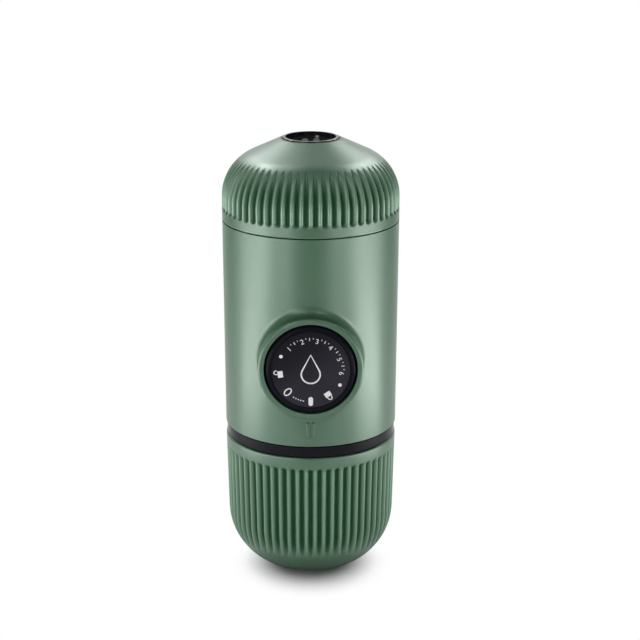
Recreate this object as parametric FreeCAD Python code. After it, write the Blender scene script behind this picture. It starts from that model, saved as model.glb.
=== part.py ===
"""Handheld manual espresso maker, standing on its drinking cup with the coffee outlet on top.

Millimetres, +Z up.  The origin is the centre of the cup's foot.  The pump knob faces -Y.
From the bottom up: drinking cup, water tank inside it, main body with the hand pump, and the
portafilter with the filter basket.  Each function makes the solids of one piece or one group.
"""
import FreeCAD, Part
import os
from math import asin, cos, degrees, pi, radians, sin, sqrt, tan

V = FreeCAD.Vector
UP = V(0, 0, 1)
BACK = V(0, 1, 0)

# ---- Driving dimensions: heights, from the foot up ---------------------------------------------
CUP_RIM_Z = 49.0
BAND_GAP = 0.15              # joint lines above the cup rim and above the band
BAND_HEIGHT = 4.15
BODY_GAP = 0.2
BODY_LENGTH = 74.0
SEAM_GAP = 0.3               # joint line between body and portafilter
COLLAR_RISE = 11.8           # knob collar above the bottom edge of the body
SHOULDER_RISE = 8.2          # start of the dome's rounded shoulder above the seam
NECK_RISE = 1.1              # top of the brew neck above the seam
DECK_DROP = 10.5             # underside of the brew deck below the seam
FLANGE_DROP = 14.1           # underside of the chassis flange below the seam
SKIRT_DROP = 9.5             # foot of the portafilter's skirt below the seam
SOCKET_RISE = 8.1            # underside of the tank deck above the bottom edge of the body

# ---- Driving dimensions: main body -----------------------------------------------------------------
BODY_TOP_R = 31.0            # outside radius at the seam under the portafilter
BODY_DRAFT = 0.4             # the body is this much slimmer in radius at its bottom edge
BODY_WALL = 2.0
LEDGE_THICK = 1.4            # ledges inside the shell that the chassis is clamped on
LEDGE_WIDTH = 1.3

# ---- Driving dimensions: knob and its collar -----------------------------------------------------------
KNOB_R = 15.6
KNOB_PROUD = 5.0             # knob face in front of the body
KNOB_DEPTH = 21.5
KNOB_WALL = 1.6
KNOB_ROUND = 1.9
KNOB_HUB_WALL = 2.0
KNOB_WEB = 2.75              # front web between dial and stub
KNOB_RIM = 2.2               # rim round the printed disc
SCREW_WELL = 1.7             # depth of the well for the head of the knob screw
SCREW_WELL_PLAY = 0.5
COLLAR_WALL = 2.0
COLLAR_PROUD = 4.5
COLLAR_FILLET = 3.0
COLLAR_OVERLAP = 0.5         # the collar's tail ends this far behind the body wall
LIP_ROUND = 0.9
GUIDE_THICK = 2.0
DIAL_THICK = 0.9
DIAL_SINK = 0.1              # the printed disc lies this far below the knob rim
MARK_GAP = 0.93              # half distance of the two raised alignment bars
MARK_WIDTH = 1.0
MARK_RISE = 3.7              # bars above the bottom edge of the body
MARK_LENGTH = 4.8
MARK_RAISE = 0.4

# ---- Driving dimensions: pump ------------------------------------------------------------------------------
LINER_WALL = 1.2
BARREL_WALL = 2.6
HEAD_LEN = 6.0
HEAD_LAND = 1.9              # land on each side of the piston seal
HEAD_GROOVE = 1.3
BARREL_END = 1.5             # room behind the head, knob pushed in
LINER_PROUD = 0.5
TOWER_OFFSET = 5.5           # tower axis behind the barrel's end
TOWER_R = 7.0
TOWER_INSET = 5.6            # tower inside the body's inner wall
TUBE_ROOM = 10.0             # top of the tower below the brew deck
CHAMBER_R = 3.4
INLET_LIP = 1.0              # the inlet hole is this much smaller in radius
CHAMBER_DROP = 4.0           # inlet chamber ends this far below the pump axis
PORT_R = 1.8
NIPPLE_R = 2.2
NIPPLE_BORE_R = 1.2
NIPPLE_LEN = 4.0
TUBE_WALL = 1.6
ROD_R = 3.2
ROD_DEPTH = 6.0              # rod screwed into the carrier's stub
STUB_R = 5.0
STUB_LEN = 12.0
CARRIER_PLAY = 0.6           # carrier inside the knob's skirt
CARRIER_THICK = 2.0
CARRIER_RIM = 0.8
CARRIER_LIP = 1.5
CARRIER_GAP = 2.0            # carrier in front of the barrel, knob pushed in
KNOB_SCREW_R = 1.5
KNOB_SCREW_HEAD_R = 3.4
KNOB_SCREW_HEAD = 1.2
KNOB_SCREW_GAP = 1.0         # room between the screw and the rod
SPRING_WIRE_R = 0.55
SPRING_PLAY = 1.6            # spring outside the barrel
SPRING_COILS = 6.0
POINTS_PER_COIL = 16         # points of a spring wire's axis in one turn
SPRING_LENGTH = 17.0         # from the carrier to the seat flange, knob pushed in
SEAT_FLANGE_THICK = 2.4
BALL_R = 2.4
VALVE_SEAT_RISE = 4.7        # valve seat above the pump axis
VALVE_SEAT_THICK = 2.0
VALVE_SEAT_BORE_R = 1.6
VALVE_COIL_R = 2.1
VALVE_WIRE_R = 0.4
VALVE_COILS = 4.5
TOWER_ROOF = 2.0
DUCKBILL_RISE = 1.0
DUCKBILL_COLLAR = 2.0
DUCKBILL_LENGTH = 8.0
DUCKBILL_WALL = 0.7
SLIT_HALF = 2.3
SLIT_THICK = 0.7
SLIT_OPEN_R = 0.35
GROMMET_THICK = 1.6
EYE_WALL = 1.8
EYE_HEIGHT = 5.0
EYE_WEB = 5.0

# ---- Driving dimensions: chassis, tank socket and brew head ---------------------------------------------------
DECK_THICK = 3.0
DECK_NIPPLE = 3.0
DECK_NIPPLE_R = 3.4
NECK_WALL = 4.0
FLANGE_THICK = 2.6
NECK_RING_DROP = 2.4         # O-ring below the top of the neck
NECK_GROOVE = 1.5
POST_R = 3.2
POST_INSET = 6.6             # post axes inside the body's inner wall
POST_ANGLES = [-25.0, 25.0, 155.0, 205.0]
SOCKET_DECK_THICK = 3.0
SCREW_R = 1.25
SCREW_HEAD_R = 2.6
SCREW_HEAD_THICK = 1.6
SCREW_LEN = 12.0
SCREW_SLOT = 0.8
SHOWER_STEP = 1.8            # ledge that carries the shower plate
SHOWER_BOSS_R = 4.0
SHOWER_HOLE_R = 0.8
SHOWER_PITCH = 6.0
SHOWER_PLAY = 0.3
SHOWER_THICK = 1.0
SHOWER_GAP = 0.8             # water film above the deck
SHOWER_SCREW_R = 1.4
SHOWER_SCREW_HEAD_R = 3.0
SHOWER_SCREW_HEAD = 1.5
BASKET_GASKET_THICK = 1.4
AIR_STEM_R = 1.2
AIR_HOOD_R = 4.0
AIR_HOOD_RISE = 1.2
AIR_BEAD_R = 1.6
AIR_BEAD_DROP = 1.8
AIR_HOLE_R = 0.7
AIR_HOLE_PLACE = 2.5
AIR_INSET = 3.0              # air valve nearer the axis than the tower

# ---- Driving dimensions: basket, scoop, portafilter -----------------------------------------------------------------
BASKET_INSET = 3.4           # basket wall inside the neck bore
BASKET_WALL = 0.5
BASKET_FLANGE_INSET = 1.2
BASKET_HOLE_R = 0.55
HOLE_PITCH = 4.0             # pitch of the holes in basket and outlet screen
PRESS_ROUND = 1.5
SCOOP_PLAY = 0.7
SCOOP_WALL = 1.2
SCOOP_FLANGE_INSET = 1.6
SCOOP_DROP = 2.0             # scoop's floor below the basket's floor
SCOOP_FLANGE_THICK = 1.2
DOME_WALL = 2.0
SHOULDER_R = 16.8            # radius of the rounded shoulder
SHOULDER_TURN = 65.0         # degrees that the shoulder turns before the straight cone
MOUTH_R = 10.0
MOUTH_ROUND = 0.6
SKIRT_GAP = 0.6              # between the skirt and the body wall
SKIRT_WALL = 2.1
STEP_THICK = 2.2
SKIRT_STEP = 0.4             # the liner widens this far above the seam
BREW_TUBE_WALL = 1.8
BREW_TUBE_GAP = 0.8
CEILING_THICK = 2.1
SCREEN_THICK = 0.6
BASKET_HEADROOM = 1.1
SEAL_THICK = 1.2
RIB_COUNT = 8
RIB_THICK = 1.4
RIB_SINK = 0.5
RIB_INSET = 1.5
RIB_FOOT = 1.0
RIB_DROP = 4.0
CEILING_INSET = 0.65         # edge of the ceiling inside the dome
SCREEN_HOLE_R = 0.6
BOWL_PROUD = 0.2             # bowl rim above the dome's mouth
BOWL_FLOOR_THICK = 1.93
BOWL_WALL = 1.0
BOWL_INSET = 4.4             # edge of the bowl's floor inside its rim
EDGE_ROUND = 0.4
BOWL_FLANGE = 2.6
BOWL_FLANGE_THICK = 1.3
SPOUT_BORE_R = 1.5
SPOUT_R = 2.7
SPOUT_RISE = 1.0
DRIP_RIB_R = 0.7
OUTLET_RING_R = 5.0

# ---- Driving dimensions: cup and tank -----------------------------------------------------------------------------------
CUP_SINK = 0.1               # cup rim inside the body's bottom edge
CUP_LEAN = 1.17              # draft of the cup's side, degrees
CUP_SIDE_ARC = 22.4
CUP_SIDE_TURN = 56.9
CUP_FOOT_ARC = 8.1
CUP_WALL = 1.8
BAND_SINK = 0.4              # band inside the body's bottom edge
SPIGOT_PLAY = 0.5
SPIGOT_WALL = 2.0
SPIGOT_LEN = 7.0
CUP_RING_GROOVE = 1.2
CUP_RING_WIDTH = 1.7
TANK_WALL = 1.6
TANK_FLOOR_Z = 8.4
TANK_CORNER = 11.0
TANK_GASKET_THICK = 1.5
GASKET_LIP = 0.5
THREAD_PLAY = 0.4            # the tank's neck in its socket
BREW_THREAD_PLAY = 0.3       # the portafilter's skirt on the neck

# ---- Driving dimensions: flutes and seals ---------------------------------------------------------------------------------
FLUTE_COUNT = 60
FLUTE_SHARE = 0.48           # groove width as a share of the pitch
FLUTE_DEPTH = 1.1
DOME_FLUTE_RISE = 3.9        # grooves start this far above the seam
DOME_FLUTE_RUN = 12.8        # and run out this far above the shoulder's start
CUP_FLUTE_DROP = 4.0         # grooves start this far below the cup's rim
CUP_FLUTE_RUN = 9.6          # and run out this far below the bend
O_RING_R = 0.75              # half thickness of the two larger O-rings
SMALL_RING_R = 0.65
SMALL_RING_GROOVE = 0.8

# ---- Named clearances ---------------------------------------------------------------------------------------------------------
SEAT = 0.05                  # pieces of one body that are pushed together
TOUCH = 0.1                  # pieces of two bodies that rest on each other
RUN = 0.2                    # pieces that slide or turn in each other
KNOB_PLAY = 0.4              # gap between knob and collar bore
SEAL_RUN = 0.06              # a lip or O-ring in its bore
THROUGH = 1.0                # a cutting tool passes its wall by this much

# ---- Knob and pump radii worked out, from the collar inwards -----------------------------------------------------------------
COLLAR_BORE_R = KNOB_R + KNOB_PLAY
COLLAR_R = COLLAR_BORE_R + COLLAR_WALL
DIAL_R = KNOB_R - KNOB_RIM
CARRIER_R = KNOB_R - KNOB_WALL - CARRIER_PLAY
SEAT_FLANGE_R = CARRIER_R + RUN
SPRING_MEAN_R = CARRIER_R - CARRIER_RIM - SPRING_WIRE_R - SEAT
BARREL_R = SPRING_MEAN_R - SPRING_WIRE_R - SPRING_PLAY
LINER_R = BARREL_R - BARREL_WALL - SEAT
BORE_R = LINER_R - LINER_WALL

# ---- Heights worked out -----------------------------------------------------------------------------------------------------------
BAND_LOW_Z = CUP_RIM_Z + BAND_GAP
BAND_TOP_Z = BAND_LOW_Z + BAND_HEIGHT
BODY_FOOT_Z = BAND_TOP_Z + BODY_GAP
KNOB_Z = BODY_FOOT_Z + COLLAR_RISE + COLLAR_R
SEAM_Z = BODY_FOOT_Z + BODY_LENGTH
BODY_TOP_Z = SEAM_Z - SEAM_GAP / 2
DOME_FOOT_Z = SEAM_Z + SEAM_GAP / 2
SHOULDER_Z = SEAM_Z + SHOULDER_RISE
NECK_TOP_Z = SEAM_Z + NECK_RISE
NECK_RING_Z = NECK_TOP_Z - NECK_RING_DROP
DECK_Z = SEAM_Z - DECK_DROP
DECK_TOP_Z = DECK_Z + DECK_THICK
FLANGE_Z = SEAM_Z - FLANGE_DROP
SKIRT_FOOT_Z = SEAM_Z - SKIRT_DROP
SHOWER_Z = DECK_TOP_Z + SHOWER_GAP
SHOWER_TOP_Z = SHOWER_Z + SHOWER_THICK
SOCKET_DECK_Z = BODY_FOOT_Z + SOCKET_RISE
SOCKET_TOP_Z = SOCKET_DECK_Z + SOCKET_DECK_THICK
SOCKET_FOOT_Z = BODY_FOOT_Z + BODY_GAP + SEAM_GAP
TANK_TOP_Z = SOCKET_DECK_Z - TANK_GASKET_THICK - RUN
TOWER_LOW_Z = SOCKET_TOP_Z + GROMMET_THICK
TOWER_HIGH_Z = DECK_Z - TUBE_ROOM
VALVE_SEAT_Z = KNOB_Z + VALVE_SEAT_RISE
VALVE_SEAT_TOP_Z = VALVE_SEAT_Z + VALVE_SEAT_THICK
BALL_Z = VALVE_SEAT_TOP_Z + sqrt(BALL_R ** 2 - VALVE_SEAT_BORE_R ** 2) + SEAL_RUN / 3
SPRING_ROOM_Z = TOWER_HIGH_Z - TOWER_ROOF
CEILING_TOP_Z = SHOULDER_Z + (SHOULDER_R - DOME_WALL) * sin(radians(SHOULDER_TURN)) - TOUCH
CEILING_Z = CEILING_TOP_Z - CEILING_THICK
BASKET_TOP_Z = CEILING_Z - BASKET_HEADROOM
BASKET_FLANGE_Z = NECK_TOP_Z + SEAT + BASKET_GASKET_THICK + TOUCH
SCOOP_TOP_Z = BASKET_TOP_Z - SCOOP_DROP
SCOOP_MOUTH_Z = SHOWER_TOP_Z + TOUCH
SEAL_LOW_Z = BASKET_FLANGE_Z + BASKET_WALL + TOUCH
STEP_Z = SEAL_LOW_Z + SEAL_THICK + TOUCH
SPIGOT_LOW_Z = CUP_RIM_Z - SPIGOT_LEN
CUP_RING_Z = SPIGOT_LOW_Z + SPIGOT_LEN * 0.4
MOUTH_Z = (SHOULDER_Z + SHOULDER_R * sin(radians(SHOULDER_TURN))
           + (BODY_TOP_R - SHOULDER_R * (1 - cos(radians(SHOULDER_TURN))) - MOUTH_R)
           * tan(radians(90.0 - SHOULDER_TURN)))
BOWL_RIM_Z = MOUTH_Z + BOWL_PROUD
BOWL_FLOOR_Z = CEILING_TOP_Z + SEAT + BOWL_FLOOR_THICK
SPOUT_TOP_Z = BOWL_FLOOR_Z + SPOUT_RISE
MARK_LOW_Z = BODY_FOOT_Z + MARK_RISE
MARK_HIGH_Z = MARK_LOW_Z + MARK_LENGTH
DOME_FLUTE_LOW_Z = SEAM_Z + DOME_FLUTE_RISE
DOME_FLUTE_HIGH_Z = SHOULDER_Z + DOME_FLUTE_RUN
CUP_TURN = CUP_LEAN + CUP_SIDE_TURN
CUP_BEND_Z = (CUP_SIDE_ARC * (sin(radians(CUP_TURN)) - sin(radians(CUP_LEAN)))
              + CUP_FOOT_ARC * (1 - sin(radians(CUP_TURN))))
CUP_FLUTE_HIGH_Z = CUP_RIM_Z - CUP_FLUTE_DROP
CUP_FLUTE_LOW_Z = CUP_BEND_Z - CUP_FLUTE_RUN

# ---- Radii worked out -----------------------------------------------------------------------------------------------------------------
BODY_FOOT_R = BODY_TOP_R - BODY_DRAFT
SKIRT_R = BODY_TOP_R - BODY_WALL - SKIRT_GAP
SKIRT_BORE_R = SKIRT_R - SKIRT_WALL
NECK_R = SKIRT_BORE_R - BREW_THREAD_PLAY
NECK_BORE_R = NECK_R - NECK_WALL
INLET_R = CHAMBER_R - INLET_LIP
SHOWER_R = NECK_BORE_R - SHOWER_PLAY
BASKET_R = NECK_BORE_R - BASKET_INSET
BASKET_FLANGE_R = NECK_R - BASKET_FLANGE_INSET
SCOOP_R = BASKET_R - BASKET_WALL - SCOOP_PLAY
SCOOP_FLANGE_R = NECK_BORE_R - SCOOP_FLANGE_INSET
BREW_TUBE_BORE_R = BASKET_R + BREW_TUBE_GAP
BREW_TUBE_R = BREW_TUBE_BORE_R + BREW_TUBE_WALL
CEILING_R = (BODY_TOP_R - SHOULDER_R - CEILING_INSET
             + (SHOULDER_R - DOME_WALL) * cos(radians(SHOULDER_TURN)))
CUP_RIM_R = BODY_FOOT_R - CUP_SINK
BAND_R = BODY_FOOT_R - BAND_SINK
SPIGOT_R = CUP_RIM_R - CUP_WALL - SPIGOT_PLAY
TANK_R = SPIGOT_R - SPIGOT_WALL
SOCKET_BORE_R = TANK_R + THREAD_PLAY
CUP_BEND_R = CUP_RIM_R - (CUP_RIM_Z - CUP_BEND_Z) * tan(radians(CUP_LEAN))
POST_CIRCLE_R = BODY_FOOT_R - BODY_WALL - POST_INSET
POST_PLACES = [(POST_CIRCLE_R * cos(radians(angle)), POST_CIRCLE_R * sin(radians(angle)))
               for angle in POST_ANGLES]

# ---- Places along the pump axis, knob pushed in ------------------------------------------------------------------------------------------
KNOB_FACE_Y = -(BODY_TOP_R + KNOB_PROUD)
COLLAR_LIP_Y = -(BODY_TOP_R + COLLAR_PROUD)
COLLAR_TAIL_Y = COLLAR_OVERLAP - sqrt((BODY_FOOT_R - BODY_WALL) ** 2 - COLLAR_R ** 2)
DIAL_BACK_Y = KNOB_FACE_Y + DIAL_SINK + DIAL_THICK
WEB_FRONT_Y = DIAL_BACK_Y + SEAT
WEB_BACK_Y = WEB_FRONT_Y + KNOB_WEB
STUB_FRONT_Y = WEB_BACK_Y + RUN
CARRIER_FRONT_Y = STUB_FRONT_Y + STUB_LEN
CARRIER_Y = CARRIER_FRONT_Y + CARRIER_THICK
ROD_FRONT_Y = CARRIER_FRONT_Y - ROD_DEPTH
BARREL_FRONT_Y = CARRIER_Y + CARRIER_GAP
SEAT_FLANGE_Y = CARRIER_Y + SPRING_LENGTH
TOWER_Y = BODY_FOOT_R - BODY_WALL - TOWER_INSET - TOWER_R
BARREL_BACK_Y = TOWER_Y - TOWER_OFFSET
HEAD_REST_Y = BARREL_BACK_Y - BARREL_END - HEAD_LEN
AIR_Y = AIR_INSET - TOWER_Y


# ---- Drawing helpers ---------------------------------------------------------------------------------------------
def outline(start, *steps):
    """Closed face in the XZ plane: a step is a point (line) or a pair mid, end (arc)."""
    here = V(start[0], 0, start[1])
    first = here
    edges = []
    for step in steps:
        if isinstance(step[0], tuple):
            middle = V(step[0][0], 0, step[0][1])
            end = V(step[1][0], 0, step[1][1])
            edges.append(Part.Arc(here, middle, end).toShape())
        else:
            end = V(step[0], 0, step[1])
            edges.append(Part.makeLine(here, end))
        here = end
    if here.distanceToPoint(first) > 1e-6:
        edges.append(Part.makeLine(here, first))
    return Part.Face(Part.Wire(edges))


def turned(face, angle=360.0):
    """Solid of revolution about the upright axis."""
    return face.revolve(V(0, 0, 0), UP, angle)


def disc(radius, low, high, x=0.0, y=0.0):
    return Part.makeCylinder(radius, high - low, V(x, y, low), UP)


def ring(outer, inner, low, high, x=0.0, y=0.0):
    return disc(outer, low, high, x, y).cut(disc(inner, low - THROUGH, high + THROUGH, x, y))


def rod_y(radius, front, back, x=0.0, z=KNOB_Z):
    """Round bar along Y from front to back, on the pump axis unless told otherwise."""
    return Part.makeCylinder(radius, back - front, V(x, front, z), BACK)


def tube_y(outer, inner, front, back):
    return rod_y(outer, front, back).cut(rod_y(inner, front - THROUGH, back + THROUGH))


def o_ring(mean_radius, thickness_radius, z):
    return Part.makeTorus(mean_radius, thickness_radius, V(0, 0, z), UP)


def arc_point(centre, radius, angle):
    """Point on an arc, angle in degrees above the horizontal."""
    return (centre[0] + radius * cos(radians(angle)), centre[1] + radius * sin(radians(angle)))


def eased(corner, before, after):
    """Steps round a corner: the start of the quarter round, then its middle and end."""
    start = (corner[0] + before[0], corner[1] + before[1])
    end = (corner[0] + after[0], corner[1] + after[1])
    share = 1 - cos(radians(45))
    middle = (corner[0] + share * (before[0] + after[0]), corner[1] + share * (before[1] + after[1]))
    return [start, (middle, end)]


def hole_grid(radius, pitch, rings, low, high):
    """Rings of small upright holes, six more in each ring."""
    holes = []
    for row in range(1, rings + 1):
        for place in range(6 * row):
            turn = 2 * pi * place / (6 * row)
            holes.append(disc(radius, low, high, pitch * row * cos(turn), pitch * row * sin(turn)))
    return holes


def coil_spring(mean_radius, wire_radius, length, coils, place, direction):
    """Open coil spring whose wire axis runs from place along direction."""
    steps = round(coils * POINTS_PER_COIL)
    axis_points = []
    for number in range(steps + 1):
        turn = 2 * pi * number / POINTS_PER_COIL
        across = V(mean_radius * cos(turn), mean_radius * sin(turn), 0)
        axis_points.append(across + UP * (length * number / steps))
    axis = Part.BSplineCurve()
    axis.interpolate(axis_points)
    start = axis.tangent(axis.FirstParameter)[0]
    section = Part.Wire(Part.makeCircle(wire_radius, axis_points[0], start))
    wire = Part.Wire(axis.toShape()).makePipeShell([section], True, True)
    wire.Placement = FreeCAD.Placement(place, FreeCAD.Rotation(UP, direction))
    return wire


def fluted(shell, groove_face):
    """Cut the pattern of grooves all round, one of them centred on -Y."""
    pitch = 360.0 / FLUTE_COUNT
    groove = turned(groove_face, pitch * FLUTE_SHARE)
    groove.rotate(V(0, 0, 0), UP, -90.0 - pitch * FLUTE_SHARE / 2)
    tools = []
    for number in range(FLUTE_COUNT):
        tool = groove.copy()
        tool.rotate(V(0, 0, 0), UP, number * pitch)
        tools.append(tool)
    return shell.cut(tools)


def radius_on_body(z):
    """Outside radius of the tapered body at height z."""
    share = (z - BODY_FOOT_Z) / (SEAM_Z - BODY_FOOT_Z)
    return BODY_FOOT_R + share * (BODY_TOP_R - BODY_FOOT_R)


# ---- Main body: shell --------------------------------------------------------------------------------------------
def body_shell():
    """Tapered tube with the knob collar, its concave foot and two raised alignment bars."""
    height = BODY_TOP_Z - BODY_FOOT_Z
    foot_r = radius_on_body(BODY_FOOT_Z)
    top_r = radius_on_body(BODY_TOP_Z)
    outside = Part.makeCone(foot_r, top_r, height, V(0, 0, BODY_FOOT_Z), UP)
    outside = outside.fuse(rod_y(COLLAR_R, COLLAR_LIP_Y, -BODY_WALL)).removeSplitter()
    foot_edges = [edge for edge in outside.Edges if on_collar_foot(edge)]
    outside = outside.makeFillet(COLLAR_FILLET, foot_edges)
    lip_edges = [edge for edge in outside.Edges if on_collar_lip(edge)]
    outside = outside.makeFillet(LIP_ROUND, lip_edges)
    inside = Part.makeCone(foot_r - BODY_WALL, top_r - BODY_WALL, height, V(0, 0, BODY_FOOT_Z), UP)
    shell = outside.cut(inside)
    tail = rod_y(COLLAR_R, COLLAR_LIP_Y + COLLAR_FILLET, COLLAR_TAIL_Y)
    shell = shell.fuse([tail, lower_ledge(), upper_ledge()] + alignment_bars())
    return shell.cut(rod_y(COLLAR_BORE_R, COLLAR_LIP_Y - THROUGH, COLLAR_TAIL_Y + THROUGH)).removeSplitter()


def on_collar(point):
    return abs(sqrt(point.x ** 2 + (point.z - KNOB_Z) ** 2) - COLLAR_R) < RUN / 20


def edge_points(edge):
    first, last = edge.ParameterRange
    return [edge.valueAt(first + (last - first) * share) for share in (0.1, 0.35, 0.6, 0.85)]


def on_collar_foot(edge):
    """The curve where collar and tapered body meet: round the collar and behind its lip."""
    points = edge_points(edge)
    behind_lip = all(point.y > COLLAR_LIP_Y + LIP_ROUND for point in points)
    round_collar = edge.BoundBox.ZLength > COLLAR_R / 2
    return round_collar and behind_lip and all(on_collar(point) for point in points)


def on_collar_lip(edge):
    return all(on_collar(point) and abs(point.y - COLLAR_LIP_Y) < RUN / 20 for point in edge_points(edge))


def lower_ledge():
    low = SOCKET_TOP_Z + SEAT
    inner = radius_on_body(low) - BODY_WALL - LEDGE_WIDTH
    return ring(inner + LEDGE_WIDTH + BODY_WALL / 2, inner, low, low + LEDGE_THICK)


def upper_ledge():
    high = FLANGE_Z - SEAT
    inner = radius_on_body(high) - BODY_WALL - LEDGE_WIDTH
    return ring(inner + LEDGE_WIDTH + BODY_WALL / 2, inner, high - LEDGE_THICK, high)


def alignment_bars():
    """Two short upright bars below the knob, proud of the shell."""
    bars = []
    face_r = radius_on_body((MARK_LOW_Z + MARK_HIGH_Z) / 2) + MARK_RAISE
    raised = ring(face_r, face_r - MARK_RAISE - BODY_WALL / 2, MARK_LOW_Z, MARK_HIGH_Z)
    for side in (-1, 1):
        corner = V(side * MARK_GAP - MARK_WIDTH / 2, -face_r - THROUGH, MARK_LOW_Z)
        block = Part.makeBox(MARK_WIDTH, face_r / 2, MARK_HIGH_Z - MARK_LOW_Z, corner)
        bars.append(raised.common(block))
    return bars


def knob_guide_ring():
    """Slide ring pushed on the tail of the collar; the knob's skirt runs in it."""
    front = COLLAR_TAIL_Y + SEAT
    return tube_y(COLLAR_R, KNOB_R + RUN, front, front + GUIDE_THICK)


# ---- Main body: chassis ----------------------------------------------------------------------------------------------
def neck_ring():
    """Brew neck, brew deck, clamping flange and four posts down to the tank socket."""
    flange_r = radius_on_body(FLANGE_Z) - BODY_WALL - SEAT
    nipple_low = DECK_Z - DECK_NIPPLE
    neck = ring(NECK_R, NECK_BORE_R, FLANGE_Z, NECK_TOP_Z)
    neck = neck.fuse([
        ring(flange_r, NECK_BORE_R, FLANGE_Z, FLANGE_Z + FLANGE_THICK),
        disc(NECK_R - THROUGH, DECK_Z, DECK_TOP_Z),
        ring(NECK_BORE_R + THROUGH, NECK_BORE_R - SHOWER_STEP, DECK_TOP_Z, SHOWER_Z),
        disc(SHOWER_BOSS_R, DECK_TOP_Z - THROUGH, SHOWER_Z),
        disc(DECK_NIPPLE_R, nipple_low, DECK_TOP_Z - THROUGH, 0, TOWER_Y)])
    posts = [disc(POST_R, SOCKET_TOP_Z + SEAT, DECK_Z + THROUGH, x, y) for x, y in POST_PLACES]
    neck = neck.fuse(posts)
    holes = [disc(SCREW_R, SOCKET_TOP_Z, SOCKET_TOP_Z + SCREW_LEN, x, y) for x, y in POST_PLACES]
    holes.append(disc(NIPPLE_BORE_R, nipple_low - THROUGH, DECK_TOP_Z + THROUGH, 0, TOWER_Y))
    holes.append(disc(SHOWER_SCREW_R, DECK_Z - THROUGH, SHOWER_Z + THROUGH))
    groove_half = O_RING_R + RUN
    groove_low = NECK_RING_Z - groove_half
    groove = ring(NECK_R + THROUGH, NECK_R - NECK_GROOVE, groove_low, NECK_RING_Z + groove_half)
    return neck.cut(holes + [groove]).removeSplitter()


def neck_seal():
    """O-ring in the groove round the neck."""
    return o_ring(NECK_R - NECK_GROOVE + O_RING_R, O_RING_R, NECK_RING_Z)


def shower_plate():
    """Perforated steel plate that spreads the water over the coffee."""
    plate = disc(SHOWER_R, SHOWER_Z, SHOWER_TOP_Z)
    low, high = SHOWER_Z - THROUGH, SHOWER_TOP_Z + THROUGH
    centre = disc(SHOWER_SCREW_R + SEAT, low, high)
    return plate.cut(hole_grid(SHOWER_HOLE_R, SHOWER_PITCH, 3, low, high) + [centre])


def shower_screw():
    high = SHOWER_TOP_Z + SHOWER_SCREW_HEAD
    head = disc(SHOWER_SCREW_HEAD_R, SHOWER_TOP_Z + SEAT, high)
    shank = disc(SHOWER_SCREW_R - SEAT, DECK_Z + SEAT, SHOWER_TOP_Z + THROUGH)
    corner = V(-SHOWER_SCREW_HEAD_R - THROUGH, -SCREW_SLOT / 2, high - SCREW_SLOT)
    slot = Part.makeBox(2 * SHOWER_SCREW_HEAD_R + 2 * THROUGH, SCREW_SLOT, SCREW_SLOT + THROUGH, corner)
    return head.fuse(shank).cut(slot)


def basket_gasket():
    low = NECK_TOP_Z + SEAT
    return ring(NECK_R - RUN, BREW_TUBE_BORE_R + RUN, low, low + BASKET_GASKET_THICK)


def tank_socket():
    """Deck that closes the bottom of the body, with the threaded ring the tank screws into."""
    outer = radius_on_body(BODY_FOOT_Z) - BODY_WALL - SEAT
    socket = ring(outer, SOCKET_BORE_R, SOCKET_FOOT_Z, SOCKET_DECK_Z)
    socket = socket.fuse(disc(outer, SOCKET_DECK_Z, SOCKET_TOP_Z))
    low, high = SOCKET_DECK_Z - THROUGH, SOCKET_TOP_Z + THROUGH
    head_high = SOCKET_DECK_Z + SCREW_HEAD_THICK
    cuts = [disc(SCREW_R + RUN, low, high, x, y) for x, y in POST_PLACES]
    cuts += [disc(SCREW_HEAD_R + RUN, low, head_high, x, y) for x, y in POST_PLACES]
    cuts.append(disc(INLET_R, low, high, 0, TOWER_Y))
    cuts.append(disc(AIR_STEM_R + SEAT, low, high, 0, AIR_Y))
    cuts += [disc(AIR_HOLE_R, low, high, side * AIR_HOLE_PLACE, AIR_Y) for side in (-1, 1)]
    return socket.cut(cuts).removeSplitter()


def air_valve():
    """Umbrella valve that lets air into the tank as it empties."""
    top = SOCKET_TOP_Z + SEAT
    low = SOCKET_DECK_Z - SEAT
    face = outline(
        (0, low - AIR_BEAD_DROP), (AIR_STEM_R / 2, low - AIR_BEAD_DROP), (AIR_BEAD_R, low), (AIR_STEM_R, low),
        (AIR_STEM_R, top), (AIR_HOOD_R, top), (AIR_HOOD_R, top + AIR_HOOD_RISE / 3),
        (AIR_HOOD_R / 2, top + AIR_HOOD_RISE * 0.8), (0, top + AIR_HOOD_RISE))
    valve = turned(face)
    valve.translate(V(0, AIR_Y, 0))
    return valve


def chassis_screws():
    """Four long screws from the tank side up into the posts, as one group."""
    screws = []
    head_low = SOCKET_DECK_Z + SEAT
    head_high = SOCKET_DECK_Z + SCREW_HEAD_THICK - SEAT
    arm = SCREW_HEAD_R * 0.65
    for x, y in POST_PLACES:
        head = disc(SCREW_HEAD_R, head_low, head_high, x, y)
        shank = disc(SCREW_R - SEAT, head_high, SOCKET_TOP_Z + SCREW_LEN - SCREW_SLOT, x, y)
        across = Part.makeBox(2 * arm, SCREW_SLOT, SCREW_SLOT, V(x - arm, y - SCREW_SLOT / 2, head_low))
        along = Part.makeBox(SCREW_SLOT, 2 * arm, SCREW_SLOT, V(x - SCREW_SLOT / 2, y - arm, head_low))
        screws.append(head.fuse(shank).cut([across, along]))
    return Part.makeCompound(screws)


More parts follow.
